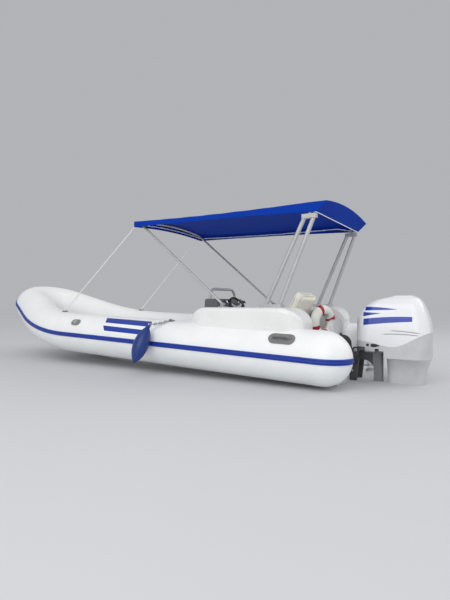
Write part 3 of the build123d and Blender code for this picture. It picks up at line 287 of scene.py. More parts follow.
def settle(piece):
    """Applies a piece's modifiers to its mesh."""
    bpy.context.view_layer.update()
    graph = bpy.context.evaluated_depsgraph_get()
    mesh = bpy.data.meshes.new_from_object(piece.evaluated_get(graph), depsgraph=graph)
    old = piece.data
    piece.modifiers.clear()
    piece.data = mesh
    bpy.data.meshes.remove(old)
    mesh.name = piece.name
    return piece


def around(count):
    """Angles of a full turn in even steps."""
    return np.linspace(0, 2 * np.pi, count, endpoint=False)


def ring(radius, count):
    """Points round a circle."""
    turn = around(count)
    return np.stack((radius * np.cos(turn), radius * np.sin(turn)), -1)


def swept(path, section, up=(0, 0, 1), closed=False):
    """A section carried along a path: its first axis lies across, its second towards up."""
    path = np.asarray(path, float)
    if closed:
        ahead = np.roll(path, -1, 0) - np.roll(path, 1, 0)
    else:
        ahead = np.gradient(path, axis=0)
    ahead = unit(ahead)
    across = unit(np.cross(ahead, np.asarray(up, float)))
    above = np.cross(across, ahead)
    section = np.broadcast_to(section, (len(path), *np.shape(section)[-2:]))
    return path[:, None] + across[:, None] * section[..., :1] + above[:, None] * section[..., 1:]


def revolved(profile, origin, axis, count):
    """A profile of radius and height turned once round an axis."""
    axis = unit(np.asarray(axis, float))
    side = unit(np.cross(axis, (0.31, 0.57, 0.76)))
    spokes = turned(np.broadcast_to(side, (count, 3)), axis, around(count))
    profile = np.asarray(profile, float)
    return np.asarray(origin) + profile[:, None, 1:] * axis + profile[:, None, :1] * spokes


def line(start, end, count):
    """Even points from start to end."""
    share = np.linspace(0, 1, count)[:, None]
    return np.asarray(start, float) * (1 - share) + np.asarray(end, float) * share


def bend(before, knuckle, after, radius):
    """Tangent arc that rounds a knuckle: start, end, centre, axis and turn."""
    u, w = unit(knuckle - before), unit(after - knuckle)
    turn = math.acos(float(u @ w))
    axis = unit(np.cross(u, w))
    reach = radius * math.tan(turn / 2)
    start = knuckle - u * reach
    return start, knuckle + w * reach, start + np.cross(axis, u) * radius, axis, turn


def tube_line(counts):
    """Port tube's centre line with its heading and its outboard direction at each point.

    It runs straight to the shoulder, turns up and in on an arc, runs straight along the cheek,
    turns on a smaller arc and ends on the centre plane. Counts are the points on each of the five.
    """
    stern, shoulder, nose = (np.array(p) for p in (TUBE_STERN, TUBE_SHOULDER, TUBE_NOSE))
    bow = nose * np.array((1, 0, 1))
    a, b, centre_a, axis_a, turn_a = bend(stern, shoulder, nose, SHOULDER_R)
    c, d, centre_c, axis_c, turn_c = bend(shoulder, nose, bow, NOSE_R)
    ahead, out = unit(shoulder - stern), np.array((0.0, 1.0, 0.0))
    found = []
    legs = ((stern, a, None), (a, b, (centre_a, axis_a, turn_a)), (b, c, None),
            (c, d, (centre_c, axis_c, turn_c)), (d, bow, None))
    for (start, end, arc), count in zip(legs, counts):
        share = np.linspace(0, 1, count, endpoint=end is bow)
        if arc is None:
            points = start + share[:, None] * (end - start)
            heads, outs = np.tile(ahead, (count, 1)), np.tile(out, (count, 1))
        else:
            centre, axis, turn = arc
            points = centre + turned(np.tile(start - centre, (count, 1)), axis, share * turn)
            heads = turned(np.tile(ahead, (count, 1)), axis, share * turn)
            outs = turned(np.tile(out, (count, 1)), axis, share * turn)
            ahead, out = turned(ahead[None], axis, [turn])[0], turned(out[None], axis, [turn])[0]
        found.append((points, heads, outs))
    return (np.concatenate(part) for part in zip(*found))


def on_run(x, tilt, lift=0.0):
    """Points on the straight part of the port tube: tilt is the angle above outboard."""
    stern, shoulder = np.array(TUBE_STERN), np.array(TUBE_SHOULDER)
    ahead, out = unit(shoulder - stern), np.array((0.0, 1.0, 0.0))
    up = np.cross(ahead, out)
    x, tilt = np.broadcast_arrays(np.asarray(x, float), np.asarray(tilt, float))
    axis = stern + ((x - stern[0]) / ahead[0])[..., None] * ahead
    reach = np.asarray(TUBE_R + lift)[..., None]
    return axis + reach * (np.cos(tilt)[..., None] * out + np.sin(tilt)[..., None] * up)


def squared(heads, outs):
    """Outboard directions squared to the headings."""
    return unit(outs - np.sum(outs * heads, -1, keepdims=True) * heads)


def rounded(turn, power=0.22):
    """Unit rounded square: cosine and sine raised to a small power with their signs kept."""
    c, s = np.cos(turn), np.sin(turn)
    return np.sign(c) * np.abs(c) ** power, np.sign(s) * np.abs(s) ** power


def corners(node):
    """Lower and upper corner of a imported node's box."""
    low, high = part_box(node)
    return np.array(low), np.array(high)


# Finishes


class Finish:
    """Node tree of one finish, in the piece's own coordinates."""

    def __init__(self, name, colour, rough, metal=0.0, **sockets):
        """Starts the tree with the shader's constant values; sockets are named in lower case."""
        self.material = bpy.data.materials.new(name)
        self.material.use_nodes = True
        self.tree = self.material.node_tree
        self.tree.nodes.clear()
        self.shader = self.tree.nodes.new("ShaderNodeBsdfPrincipled")
        output = self.tree.nodes.new("ShaderNodeOutputMaterial")
        self.tree.links.new(self.shader.outputs[0], output.inputs["Surface"])
        self.colour = (*colour, 1.0)
        self.shader.inputs["Base Color"].default_value = self.colour
        self.shader.inputs["Roughness"].default_value = rough
        self.shader.inputs["Metallic"].default_value = metal
        for key, value in sockets.items():
            self.shader.inputs[key.replace("_", " ").title().replace("Ior", "IOR")].default_value = value
        self.material.diffuse_color = self.colour
        self.place = self.add("TexCoord").outputs["Object"]

    def add(self, kind, links=None, **settings):
        """New node; settings are its properties, links its inputs by name or number."""
        node = self.tree.nodes.new("ShaderNode" + kind)
        for key, value in settings.items():
            setattr(node, key, value)
        for key, value in (links or {}).items():
            if isinstance(value, bpy.types.NodeSocket):
                self.tree.links.new(value, node.inputs[key])
            else:
                node.inputs[key].default_value = value
        return node

    def sum(self, operation, *values):
        """Result of one Math node."""
        return self.add("Math", dict(enumerate(values)), operation=operation).outputs[0]

    def axes(self, place=None):
        """X, Y and Z of a place."""
        parts = self.add("SeparateXYZ", {0: place or self.place})
        return parts.outputs[0], parts.outputs[1], parts.outputs[2]

    def cloth(self):
        """Coordinates of the piece's own map, in metres."""
        return self.add("TexCoord").outputs["UV"]

    def moved(self, scale):
        """The piece's coordinates stretched along its axes."""
        return self.add("Mapping", {"Vector": self.place, "Scale": scale}).outputs[0]

    def away(self, centre):
        """Distance from a point."""
        return self.add("VectorMath", {0: self.place, 1: centre}, operation="DISTANCE").outputs["Value"]

    def noise(self, scale, detail=3.0, rough=0.55, place=None):
        """Cloudy values between nought and one."""
        links = {"Vector": place or self.place, "Scale": scale, "Detail": detail, "Roughness": rough}
        return self.add("TexNoise", links).outputs["Fac"]

    def cells(self, scale, feature="F1"):
        """Pebbled values: distance to the nearest of scattered points."""
        return self.add("TexVoronoi", {"Vector": self.place, "Scale": scale}, feature=feature).outputs[0]

    def remap(self, value, low, high, to_low=0.0, to_high=1.0):
        """Smooth step from one range to another."""
        links = {0: value, 1: low, 2: high, 3: to_low, 4: to_high}
        return self.add("MapRange", links, interpolation_type="SMOOTHSTEP").outputs[0]

    def between(self, value, low, high, soft):
        """One inside a band and nought outside, with soft edges; low and high may be sockets."""
        above = self.remap(self.sum("SUBTRACT", value, low), -soft, soft)
        below = self.remap(self.sum("SUBTRACT", high, value), -soft, soft)
        return self.sum("MULTIPLY", above, below)

    def either(self, masks):
        """Largest of several masks."""
        largest = masks[0]
        for mask in masks[1:]:
            largest = self.sum("MAXIMUM", largest, mask)
        return largest

    def mix(self, share, a, b):
        """Colour between a and b."""
        links = {0: share}
        for number, value in ((6, a), (7, b)):
            links[number] = value if isinstance(value, bpy.types.NodeSocket) else (*value[:3], 1.0)
        return self.add("Mix", links, data_type="RGBA").outputs[2]

    def shade(self, socket):
        """Makes a colour socket the base colour."""
        self.tree.links.new(socket, self.shader.inputs["Base Color"])

    def tinted(self, factor):
        """Base colour made darker or lighter."""
        return tuple(min(1.0, c * factor) for c in self.colour[:3])

    def mottle(self, scale, low, high, detail=4.0):
        """Colour that drifts between a darker and a lighter tone."""
        return self.mix(self.remap(self.noise(scale, detail), 0.3, 0.7), self.tinted(low), self.tinted(high))

    def polish(self, scale, low, high, place=None):
        """Roughness that drifts with the handling and weather."""
        drift = self.remap(self.noise(scale, 5.0, 0.6, place), 0.3, 0.7, low, high)
        self.tree.links.new(drift, self.shader.inputs["Roughness"])

    def relief(self, height, strength, depth):
        """Bump from a height socket, laid over earlier ones."""
        bump = self.add("Bump", {"Height": height, "Strength": strength, "Distance": depth})
        old = self.shader.inputs["Normal"].links
        if old:
            self.tree.links.new(old[0].from_socket, bump.inputs["Normal"])
        self.tree.links.new(bump.outputs[0], self.shader.inputs["Normal"])


def coated_fabric(name, rgb):
    """Rubber-coated fabric: a fine cast grain, faint weathering and a soft shine."""
    f = Finish(name, rgb, 0.36, specular_ior_level=0.42, coat_weight=0.08, coat_roughness=0.3)
    height = f.axes()[2]
    grime = f.sum("MULTIPLY", f.remap(height, 0.16, 0.02), f.remap(f.noise(9.0, 6.0), 0.35, 0.75))
    f.shade(f.mix(f.sum("MULTIPLY", grime, 0.35), f.mottle(3.5, 0.955, 1.0), f.tinted(0.72)))
    f.polish(5.0, 0.3, 0.44)
    f.relief(f.noise(700.0, 2.0), 0.16, 0.0008)
    f.relief(f.noise(2.2, 2.0), 0.12, 0.006)
    return f.material


def moulded_gelcoat(name, rgb):
    """Polished gelcoat: slow waves from the mould and fine chalking."""
    f = Finish(name, rgb, 0.2, coat_weight=0.35, coat_roughness=0.08)
    f.shade(f.mottle(2.4, 0.95, 1.0))
    f.polish(7.0, 0.14, 0.3)
    f.relief(f.noise(5.0, 1.0), 0.1, 0.004)
    f.relief(f.noise(900.0, 1.0), 0.04, 0.0005)
    return f.material


def grip_deck(name, rgb):
    """Deck with a moulded diamond grip and dirt settled in patches between its studs."""
    f = Finish(name, rgb, 0.55)
    x, y, _ = f.axes()
    pitch = 2 * math.pi / 0.022
    ridge = f.sum(
        "MULTIPLY",
        f.sum("SINE", f.sum("MULTIPLY", f.sum("ADD", x, y), pitch)),
        f.sum("SINE", f.sum("MULTIPLY", f.sum("SUBTRACT", x, y), pitch)),
    )
    stud = f.remap(ridge, 0.15, 0.5)
    dirt = f.remap(f.noise(4.0, 6.0), 0.4, 0.75, 0.0, 0.5)
    low_dirt = f.sum("MULTIPLY", dirt, f.sum("SUBTRACT", 1.0, stud))
    f.shade(f.mix(low_dirt, f.mottle(1.6, 0.93, 1.0), f.tinted(0.66)))
    f.polish(3.0, 0.45, 0.65)
    f.relief(stud, 0.55, 0.0018)
    return f.material


def grained_plastic(name, rgb, rough=0.5, grain=420.0):
    """Moulded plastic with a pebble grain."""
    f = Finish(name, rgb, rough)
    f.shade(f.mottle(6.0, 0.9, 1.05))
    f.polish(12.0, rough - 0.08, rough + 0.1)
    f.relief(f.cells(grain, "SMOOTH_F1"), 0.25, 0.0008)
    return f.material


def rubber(name, rgb, rough=0.6):
    """Moulded rubber: powdery bloom and fine pits."""
    f = Finish(name, rgb, rough)
    bloom = f.remap(f.noise(22.0, 6.0), 0.45, 0.8, 0.0, 0.55)
    f.shade(f.mix(bloom, f.tinted(0.92), f.tinted(1.2)))
    f.polish(30.0, rough - 0.1, rough + 0.15)
    f.relief(f.noise(520.0, 3.0), 0.18, 0.0007)
    return f.material


def grained_vinyl(name, rgb):
    """Upholstery vinyl: pebbled hide grain with soft creases."""
    f = Finish(name, rgb, 0.42, specular_ior_level=0.45, sheen_weight=0.12, sheen_roughness=0.5)
    f.shade(f.mottle(8.0, 0.94, 1.0))
    f.polish(16.0, 0.34, 0.52)
    f.relief(f.cells(260.0, "SMOOTH_F1"), 0.22, 0.0012)
    f.relief(f.noise(26.0, 3.0), 0.12, 0.003)
    return f.material


def woven_canvas(name, rgb):
    """Acrylic canvas: crossing yarns on the cloth's own map with painted shade and highlight along the
    weave, and faded and damp patches.
    """
    f = Finish(name, rgb, 0.82, sheen_weight=0.02, sheen_roughness=0.45, specular_ior_level=0.08)
    u, v, _ = f.axes(f.cloth())
    thread = 2 * math.pi / 0.0016
    warp = f.sum("SINE", f.sum("MULTIPLY", u, thread))
    weft = f.sum("SINE", f.sum("MULTIPLY", v, thread))
    weave = f.sum("MULTIPLY", warp, weft)
    # painted shade in the hollows of the weave and painted highlight on its raised crossings
    tone = f.mix(f.remap(weave, -0.6, 0.6), f.tinted(0.9), f.tinted(1.06))
    fade = f.remap(f.noise(1.3, 5.0), 0.4, 0.8, 0.0, 0.4)
    f.shade(f.mix(fade, tone, f.tinted(1.12)))
    f.relief(weave, 0.12, 0.0005)
    f.relief(f.noise(5.0, 3.0), 0.25, 0.01)
    return f.material


def drawn_alloy(name, rgb, rough=0.42):
    """Anodised tube: fine draw lines and handling marks."""
    f = Finish(name, rgb, rough, metal=0.4)
    f.shade(f.mottle(14.0, 0.93, 1.03))
    f.polish(90.0, rough - 0.08, rough + 0.1, f.moved((1.0, 1.0, 0.12)))
    f.relief(f.noise(600.0, 1.0, 0.5, f.moved((1.0, 1.0, 0.04))), 0.06, 0.0004)
    return f.material


def cast_paint(name, rgb, rough=0.42):
    """Paint on castings: light orange peel, chips of a lighter primer."""
    f = Finish(name, rgb, rough, coat_weight=0.15, coat_roughness=0.3)
    chips = f.remap(f.noise(38.0, 8.0, 0.7), 0.7, 0.74)
    f.shade(f.mix(f.sum("MULTIPLY", chips, 0.6), f.mottle(5.0, 0.93, 1.04), f.tinted(1.5)))
    f.polish(11.0, rough - 0.08, rough + 0.08)
    f.relief(f.noise(320.0, 2.0), 0.1, 0.0006)
    return f.material


def bracket_paint(name, rgb, arm):
    """Casting in two tones: a paler limb hangs from a round head, and the arm ahead of it is dark."""
    f = Finish(name, rgb, 0.42, coat_weight=0.15, coat_roughness=0.3)
    x, _, z = f.axes()
    over = f.sum("MAXIMUM", f.sum("SUBTRACT", z, LIMB_Z), 0.0)
    beside = f.sum("SUBTRACT", x, LIMB_X)
    away = f.sum("SQRT", f.sum("ADD", f.sum("MULTIPLY", over, over), f.sum("MULTIPLY", beside, beside)))
    ahead = f.remap(away, LIMB_R - 0.0015, LIMB_R + 0.0015)
    f.shade(f.mix(ahead, f.mottle(5.0, 0.93, 1.04), arm))
    f.polish(11.0, 0.34, 0.5)
    f.relief(f.noise(320.0, 2.0), 0.1, 0.0006)
    return f.material


def polished_steel(name, rgb, rough=0.2):
    """Bare metal: small marks and uneven shine."""
    f = Finish(name, rgb, rough, metal=1.0)
    f.shade(f.mottle(40.0, 0.9, 1.04))
    f.polish(60.0, rough - 0.06, rough + 0.12)
    f.relief(f.noise(380.0, 2.0), 0.05, 0.0004)
    return f.material


def ribbed_strake(name, rgb):
    """Extruded rubber strake: scuffs along the crown of the ribs."""
    f = Finish(name, rgb, 0.44)
    scuff = f.remap(f.noise(30.0, 7.0, 0.65, f.moved((0.2, 1.0, 1.0))), 0.58, 0.8, 0.0, 0.5)
    f.shade(f.mix(scuff, f.mottle(4.0, 0.94, 1.0), f.tinted(1.5)))
    f.polish(9.0, 0.34, 0.54)
    f.relief(f.noise(420.0, 2.0), 0.1, 0.0006)
    return f.material


def twisted_rope(name, rgb, pitch=0.03):
    """Laid rope: strands run slanted round the piece's own map, with painted shade in the grooves between
    them.
    """
    f = Finish(name, rgb, 0.8, sheen_weight=0.2)
    u, v, _ = f.axes(f.cloth())
    lay = f.sum("SINE", f.sum("MULTIPLY", f.sum("ADD", u, v), 2 * math.pi / pitch))
    # painted shade: darker where the lay is low, in the grooves between the strands
    f.shade(f.mix(f.remap(lay, -0.9, 0.3), f.tinted(0.93), f.tinted(1.0)))
    f.relief(lay, 0.25, 0.0012)
    f.relief(f.noise(900.0, 2.0), 0.2, 0.0004)
    return f.material


def striped_cowl(name, rgb, stripe):
    """Gloss cowl paint with three swept stripes, and two creases drawn as grooves with painted shade along
    them; all set out along X and Z.
    """
    f = Finish(name, rgb, 0.24, coat_weight=0.3, coat_roughness=0.12)
    x, _, z = f.axes()

    def edge(slope, level, bow=0.0):
        """Height of a stripe's edge: level, slope and curve along X, measured from X = -0.16."""
        run = f.sum("ADD", x, 0.16)
        curve = f.sum("MULTIPLY", f.sum("MULTIPLY", run, run), bow)
        return f.sum("ADD", f.sum("ADD", f.sum("MULTIPLY", run, slope), level), curve)

    def patch(low, high, aft, fore, soft, ends):
        """One between two edges in Z and two places in X, nought elsewhere."""
        return f.sum("MULTIPLY", f.between(z, low, high, soft), f.between(x, aft, fore, ends))

    soft, thin = 0.002, 0.0032
    bands = (
        # lower edge, upper edge, from x, to x
        (edge(-0.035, 0.704), edge(-0.01, 0.741, -0.29), -0.47, -0.168),
        (edge(-0.19, 0.648), edge(0.056, 0.689), -0.318, -0.152),
        (edge(-0.135, 0.562, -0.1), edge(-0.13, 0.624, -0.17), -0.605, -0.157),
    )
    creases = ((edge(-0.09, 0.507, -0.22), -0.665, -0.42), (edge(-0.17, 0.457, -0.27), -0.655, -0.35))
    mask = f.either([patch(*band, soft, soft) for band in bands])
    lines = f.either([
        patch(f.sum("SUBTRACT", at, thin), f.sum("ADD", at, thin), aft, fore, 0.0022, 0.03)
        for at, aft, fore in creases
    ])
    coat = f.mix(mask, f.mottle(3.0, 0.97, 1.0), stripe)
    # the creases are darkened towards near black: painted shade along their grooves
    f.shade(f.mix(f.sum("MULTIPLY", lines, 0.8), coat, f.tinted(0.12)))
    f.polish(6.0, 0.14, 0.26)
    f.relief(f.sum("SUBTRACT", 1.0, lines), 0.6, 0.004)
    f.relief(f.noise(4.0, 1.0), 0.08, 0.004)
    return f.material


def wheel_finish(name, rgb, metal, centre, radius):
    """Steering wheel: rubber on the rim, brushed spokes inside it."""
    f = Finish(name, rgb, 0.55)
    spoke = f.remap(f.away(centre), radius - 0.018, radius - 0.022)
    f.shade(f.mix(spoke, f.mottle(30.0, 0.85, 1.3), metal))
    f.polish(40.0, 0.38, 0.6)
    f.relief(f.cells(300.0), 0.3, 0.0008)
    return f.material


def dial_face(name, centre, across, up):
    """Instrument face: a ring of marks and a pale pointer on black."""
    f = Finish(name, (0.012, 0.012, 0.014), 0.35, coat_weight=0.6, coat_roughness=0.05)
    off = f.add("VectorMath", {0: f.place, 1: centre}, operation="SUBTRACT").outputs[0]
    a = f.add("VectorMath", {0: off, 1: across}, operation="DOT_PRODUCT").outputs["Value"]
    b = f.add("VectorMath", {0: off, 1: up}, operation="DOT_PRODUCT").outputs["Value"]
    reach = f.add("VectorMath", {0: off}, operation="LENGTH").outputs["Value"]
    turn = f.sum("ARCTAN2", a, b)
    teeth = f.remap(f.sum("COSINE", f.sum("MULTIPLY", turn, 24.0)), 0.75, 0.95)
    marks = f.sum("MULTIPLY", teeth, f.between(reach, 0.024, 0.03, 0.0008))
    lower = f.remap(f.sum("COSINE", turn), -0.72, -0.68)
    hand = f.sum("MULTIPLY", f.between(turn, 0.7, 0.78, 0.02), f.between(reach, 0.002, 0.025, 0.001))
    ink = f.sum("MAXIMUM", f.sum("MULTIPLY", marks, lower), hand)
    f.shade(f.mix(ink, f.mottle(60.0, 0.8, 1.4), (0.8, 0.8, 0.76)))
    f.relief(ink, 0.2, 0.0005)
    return f.material


def two_tone_fitting(name, rgb, centre, reach):
    """Glued rubber fitting with a lighter cap at its centre."""
    f = Finish(name, rgb, 0.6)
    cap = f.remap(f.away(centre), reach + 0.002, reach - 0.002)
    f.shade(f.mix(cap, f.mottle(30.0, 0.85, 1.1), f.tinted(1.75)))
    f.polish(30.0, 0.5, 0.7)
    f.relief(f.noise(420.0, 3.0), 0.2, 0.0008)
    return f.material


def dress(finish, *names):
    """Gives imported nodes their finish."""
    for name in names:
        slots = NODES[name].data.materials
        slots.clear()
        slots.append(finish)


def pair(stem):
    """Names of a node on the two sides."""
    return f"{stem}_port", f"{stem}_starboard"


# Operators


class BOAT_OT_stage(bpy.types.Operator):
    """Pale floor, soft lamps and the camera at the picture's viewing angle"""

    bl_idname = "boat.stage"
    bl_label = "Stage"

    def execute(self, context):
        stage = context.scene.boat_stage
        context.scene.view_settings.view_transform = "Standard"
        turn, rise = stage.heading, stage.pitch
        look = Vector((math.sin(turn) * math.cos(rise), -math.cos(turn) * math.cos(rise), math.sin(rise)))
        data = bpy.data.cameras.new("Camera")
        data.lens, data.sensor_width, data.clip_end = stage.lens, 36.0, 200.0
        camera = bpy.data.objects.new("Camera", data)
        camera.location = stage.eye
        camera.rotation_mode = "QUATERNION"
        camera.rotation_quaternion = look.to_track_quat("-Z", "Y")
        context.scene.collection.objects.link(camera)
        context.scene.camera = camera
        self.floor(stage)
        self.world(context, stage)
        self.lamp("KeyLamp", KEY_AT, stage.key, 9.0)
        self.lamp("BackLamp", BACK_AT, stage.key * 0.3, 5.0)
        return {"FINISHED"}

    def floor(self, stage):
        """Flat disc at the waterline, from rings that grow outwards."""
        f = Finish("floor_paint", tuple(stage.floor), 0.95, specular_ior_level=0.0)
        f.shade(f.mottle(0.5, 0.985, 1.0))
        reach = np.linspace(0, 1, 24) ** 2 * FLOOR_R
        profile = np.stack((reach, np.zeros_like(reach)), -1)
        grid = revolved(profile, FLOOR_AT, (0, 0, 1), 64)
        add_surface("Floor", grid, f.material, None, (False, True))

    def world(self, context, stage):
        """Even light from all round; rays that see the backdrop meet the floor's own colour."""
        world = bpy.data.worlds.new("Studio")
        context.scene.world = world
        world.use_nodes = True
        tree = world.node_tree
        tree.nodes.clear()
        light, backdrop = (tree.nodes.new("ShaderNodeBackground") for _ in range(2))
        light.inputs["Color"].default_value = (1.0, 1.0, 1.0, 1.0)
        light.inputs["Strength"].default_value = stage.fill
        backdrop.inputs["Strength"].default_value = stage.fill
        backdrop.inputs["Color"].default_value = (*stage.floor, 1.0)
        path = tree.nodes.new("ShaderNodeLightPath")
        mixed, output = tree.nodes.new("ShaderNodeMixShader"), tree.nodes.new("ShaderNodeOutputWorld")
        seen = path.outputs["Is Camera Ray"]
        for kind in ("Is Glossy Ray", "Is Transmission Ray"):
            either = tree.nodes.new("ShaderNodeMath")
            either.operation = "MAXIMUM"
            tree.links.new(seen, either.inputs[0])
            tree.links.new(path.outputs[kind], either.inputs[1])
            seen = either.outputs[0]
        tree.links.new(seen, mixed.inputs[0])
        tree.links.new(light.outputs[0], mixed.inputs[1])
        tree.links.new(backdrop.outputs[0], mixed.inputs[2])
        tree.links.new(mixed.outputs[0], output.inputs["Surface"])

    def lamp(self, name, at, power, size):
        """Square lamp that faces the boat and stays out of the picture."""
        data = bpy.data.lights.new(name, "AREA")
        data.energy, data.size = power, size
        lamp = bpy.data.objects.new(name, data)
        lamp.location = at
        lamp.visible_camera = False
        lamp.rotation_mode = "QUATERNION"
        lamp.rotation_quaternion = (Vector(LAMP_AIM) - Vector(at)).to_track_quat("-Z", "Y")
        bpy.context.scene.collection.objects.link(lamp)


class BOAT_OT_tubes(bpy.types.Operator):
    """Tube skins with their seam tapes, rub strakes and side stripes"""

    bl_idname = "boat.tubes"
    bl_label = "Tubes"

    def execute(self, context):
        paint, self.sizes = context.scene.boat_colours, context.scene.boat_sizes
        skin = coated_fabric("tube_skin", paint.tube)
        dress(skin, "tube_port", "tube_starboard", "tube_bow")
        blue = ribbed_strake("strake_rubber", paint.trim)
        stripe = coated_fabric("stripe_skin", paint.trim)
        for side, hand in SIDES:
            flip = np.array((1.0, hand, 1.0))
            self.strake(side, flip, blue)
            self.tapes(side, flip, skin)
            self.stripes(side, flip, stripe)
        return {"FINISHED"}

    def strake(self, side, flip, finish):
        """Ribbed section carried along the tube's widest line, from the stern dome to the bow."""
        points, heads, outs = tube_line((60, 40, 20, 40, 10))
        stern, ahead, out, dome = points[0], heads[0], outs[0], 24
        axis = unit(np.cross(ahead, out))
        wrap = turned(np.tile(out, (dome, 1)), axis, np.linspace(np.pi / 2, 0, dome, endpoint=False))
        points = np.concatenate((np.tile(stern, (dome, 1)), points))
        outs = np.concatenate((wrap, outs))
        ups = np.concatenate((np.tile(axis, (dome, 1)), np.cross(heads, squared(heads, outs[dome:]))))
        share = np.linspace(0, 1, len(points))
        slim = 1 - 0.55 * np.clip((share - 0.62) / 0.36, 0, 1) ** 1.5
        half, deep = self.sizes.strake_height / 2, self.sizes.strake_depth
        upper = np.array((0.12, 0.36, 0.48, 0.6, 0.86, 1, 1))
        across = np.concatenate((-upper[::-1], (0,), upper)) * half
        rib = np.array((1, 1, 0.72, 1, 0.8, 0.35, -0.3))
        rise = np.concatenate((rib[::-1], (0.94,), rib)) * deep
        reach = np.sqrt(TUBE_R**2 - across**2) + rise
        reach[[0, -1]] = math.sqrt(TUBE_R**2 - half**2) + 0.0004
        grid = (points[:, None] + outs[:, None] * reach[None, :, None]
                + ups[:, None] * (across[None, :, None] * slim[:, None, None]))
        piece = add_surface(f"rub_strake_{side}", grid * flip, finish, "boat", (False, True), True, 28)
        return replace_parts(piece, f"strake_{side}")

    def tapes(self, side, flip, finish):
        """Glued bands round the tube where its panels meet: a thin raised ring at each seam."""
        points, heads, outs = tube_line((2, 2, 2, 2, 2))
        half, turn = self.sizes.tape_width / 2, around(72)
        lift = np.array((0.0002, 0.0016, 0.0016, 0.0002))
        grids = []
        for at, shift in ((0, half), (4, 0.0)):
            ups = np.cross(heads[at], outs[at])
            spoke = np.cos(turn)[:, None] * outs[at] + np.sin(turn)[:, None] * ups
            along = np.array((-half, -half + 0.003, half - 0.003, half)) + shift
            grid = points[at] + along[:, None, None] * heads[at] + (TUBE_R + lift)[:, None, None] * spoke
            grids.append(grid * flip)
        return add_parts(f"seam_tape_{side}", grids, finish, "boat", (False, True), crease=20)

    def stripes(self, side, flip, finish):
        """Two slanted bars of coated fabric on the upper outboard side of the tube."""
        grids = []
        for (x0, x1), (low0, high0), (low1, high1) in STRIPES:
            x, t = np.linspace(x0, x1, 24)[:, None], np.linspace(0, 1, 12)[None, :]
            share = (x - x0) / (x1 - x0)
            low, high = low0 + (low1 - low0) * share, high0 + (high1 - high0) * share
            tilt = np.radians(low + (high - low) * t)
            slant = x + 0.05 * (t - 0.5)
            rim = np.minimum(np.minimum(share, 1 - share) * 40, np.minimum(t, 1 - t) * 20).clip(0, 1)
            grids.append(on_run(slant, tilt, 0.0003 + 0.0012 * rim) * flip)
        return add_parts(f"side_stripes_{side}", grids, finish, "boat", (False, False), crease=20)


class BOAT_OT_mouldings(bpy.types.Operator):
    """Hull, deck, transom and side pods"""

    bl_idname = "boat.mouldings"
    bl_label = "Mouldings"

    def execute(self, context):
        paint = context.scene.boat_colours
        dress(moulded_gelcoat("pod_gelcoat", paint.gelcoat), *pair("pod"))
        dress(moulded_gelcoat("hull_gelcoat", paint.gelcoat), "hull")
        dress(moulded_gelcoat("transom_gelcoat", paint.transom), "transom")
        dress(grip_deck("deck_grip", paint.deck), "deck")
        return {"FINISHED"}


class BOAT_OT_console(bpy.types.Operator):
    """Console moulding with its rail, wheel, gauges and switches"""

    bl_idname = "boat.console"
    bl_label = "Console"

    def execute(self, context):
        paint, self.sizes = context.scene.boat_colours, context.scene.boat_sizes
        dress(grained_plastic("console_grain", paint.console, 0.5), "console")
        dress(drawn_alloy("rail_alloy", paint.alloy), "console_rail")
        low, high = corners("steering_wheel")
        hub = (low[0] + WHEEL_R * math.sin(WHEEL_RAKE) + WHEEL_GRIP, 0.0, (low[2] + high[2]) / 2)
        dress(wheel_finish("wheel_rubber", linear(30, 30, 32), paint.alloy, hub, WHEEL_R), "steering_wheel")
        low, high = corners("console")
        self.dash(np.array((low[0] + DASH_RUN / 2, 0.0, high[2] - DASH_FALL / 2)), paint)
        return {"FINISHED"}

    def dash(self, middle, paint):
        """Gauges turned from one profile on the sloping dash, and pillow-shaped switches beside them."""
        out, across = unit(np.array((-DASH_FALL, 0.0, DASH_RUN))), np.array((0.0, 1.0, 0.0))
        up = np.cross(out, across)
        scale = np.array((self.sizes.gauge_radius, 1.0))
        bezel = np.array(((0.84, 0.004), (0.86, 0.009), (0.93, 0.011), (1.0, 0.008), (1.02, -0.004))) * scale
        glass = np.array(((0.0, 0.0046), (0.4, 0.0046), (0.86, 0.0046))) * scale
        steel = polished_steel("bezel_steel", paint.steel, 0.22)
        for side, hand in SIDES:
            at = middle + across * hand * GAUGE_Y
            rim, disc = revolved(bezel, at, out, 48), revolved(glass, at, out, 48)
            add_surface(f"gauge_rim_{side}", rim, steel, "boat", (False, True))
            face = dial_face(f"gauge_{side}", at, across, up)
            add_surface(f"gauge_face_{side}", disc, face, "boat", (False, True))
        caps = []
        cx, cy = rounded(around(40), 0.5)
        reach = np.array((0, 0.6, 0.86, 1.0, 1.0))[:, None]
        lift = np.array((0.008, 0.0075, 0.006, 0.003, -0.003))[:, None]
        for y in SWITCH_Y:
            wide, tall = reach * cx * 0.011, reach * cy * 0.02
            caps.append(middle + (y + wide)[..., None] * across + tall[..., None] * up
                        + np.broadcast_to(lift, wide.shape)[..., None] * out)
        black = rubber("switch_rubber", linear(34, 34, 36), 0.5)
        add_parts("dash_switches", caps, black, "boat", (False, True))


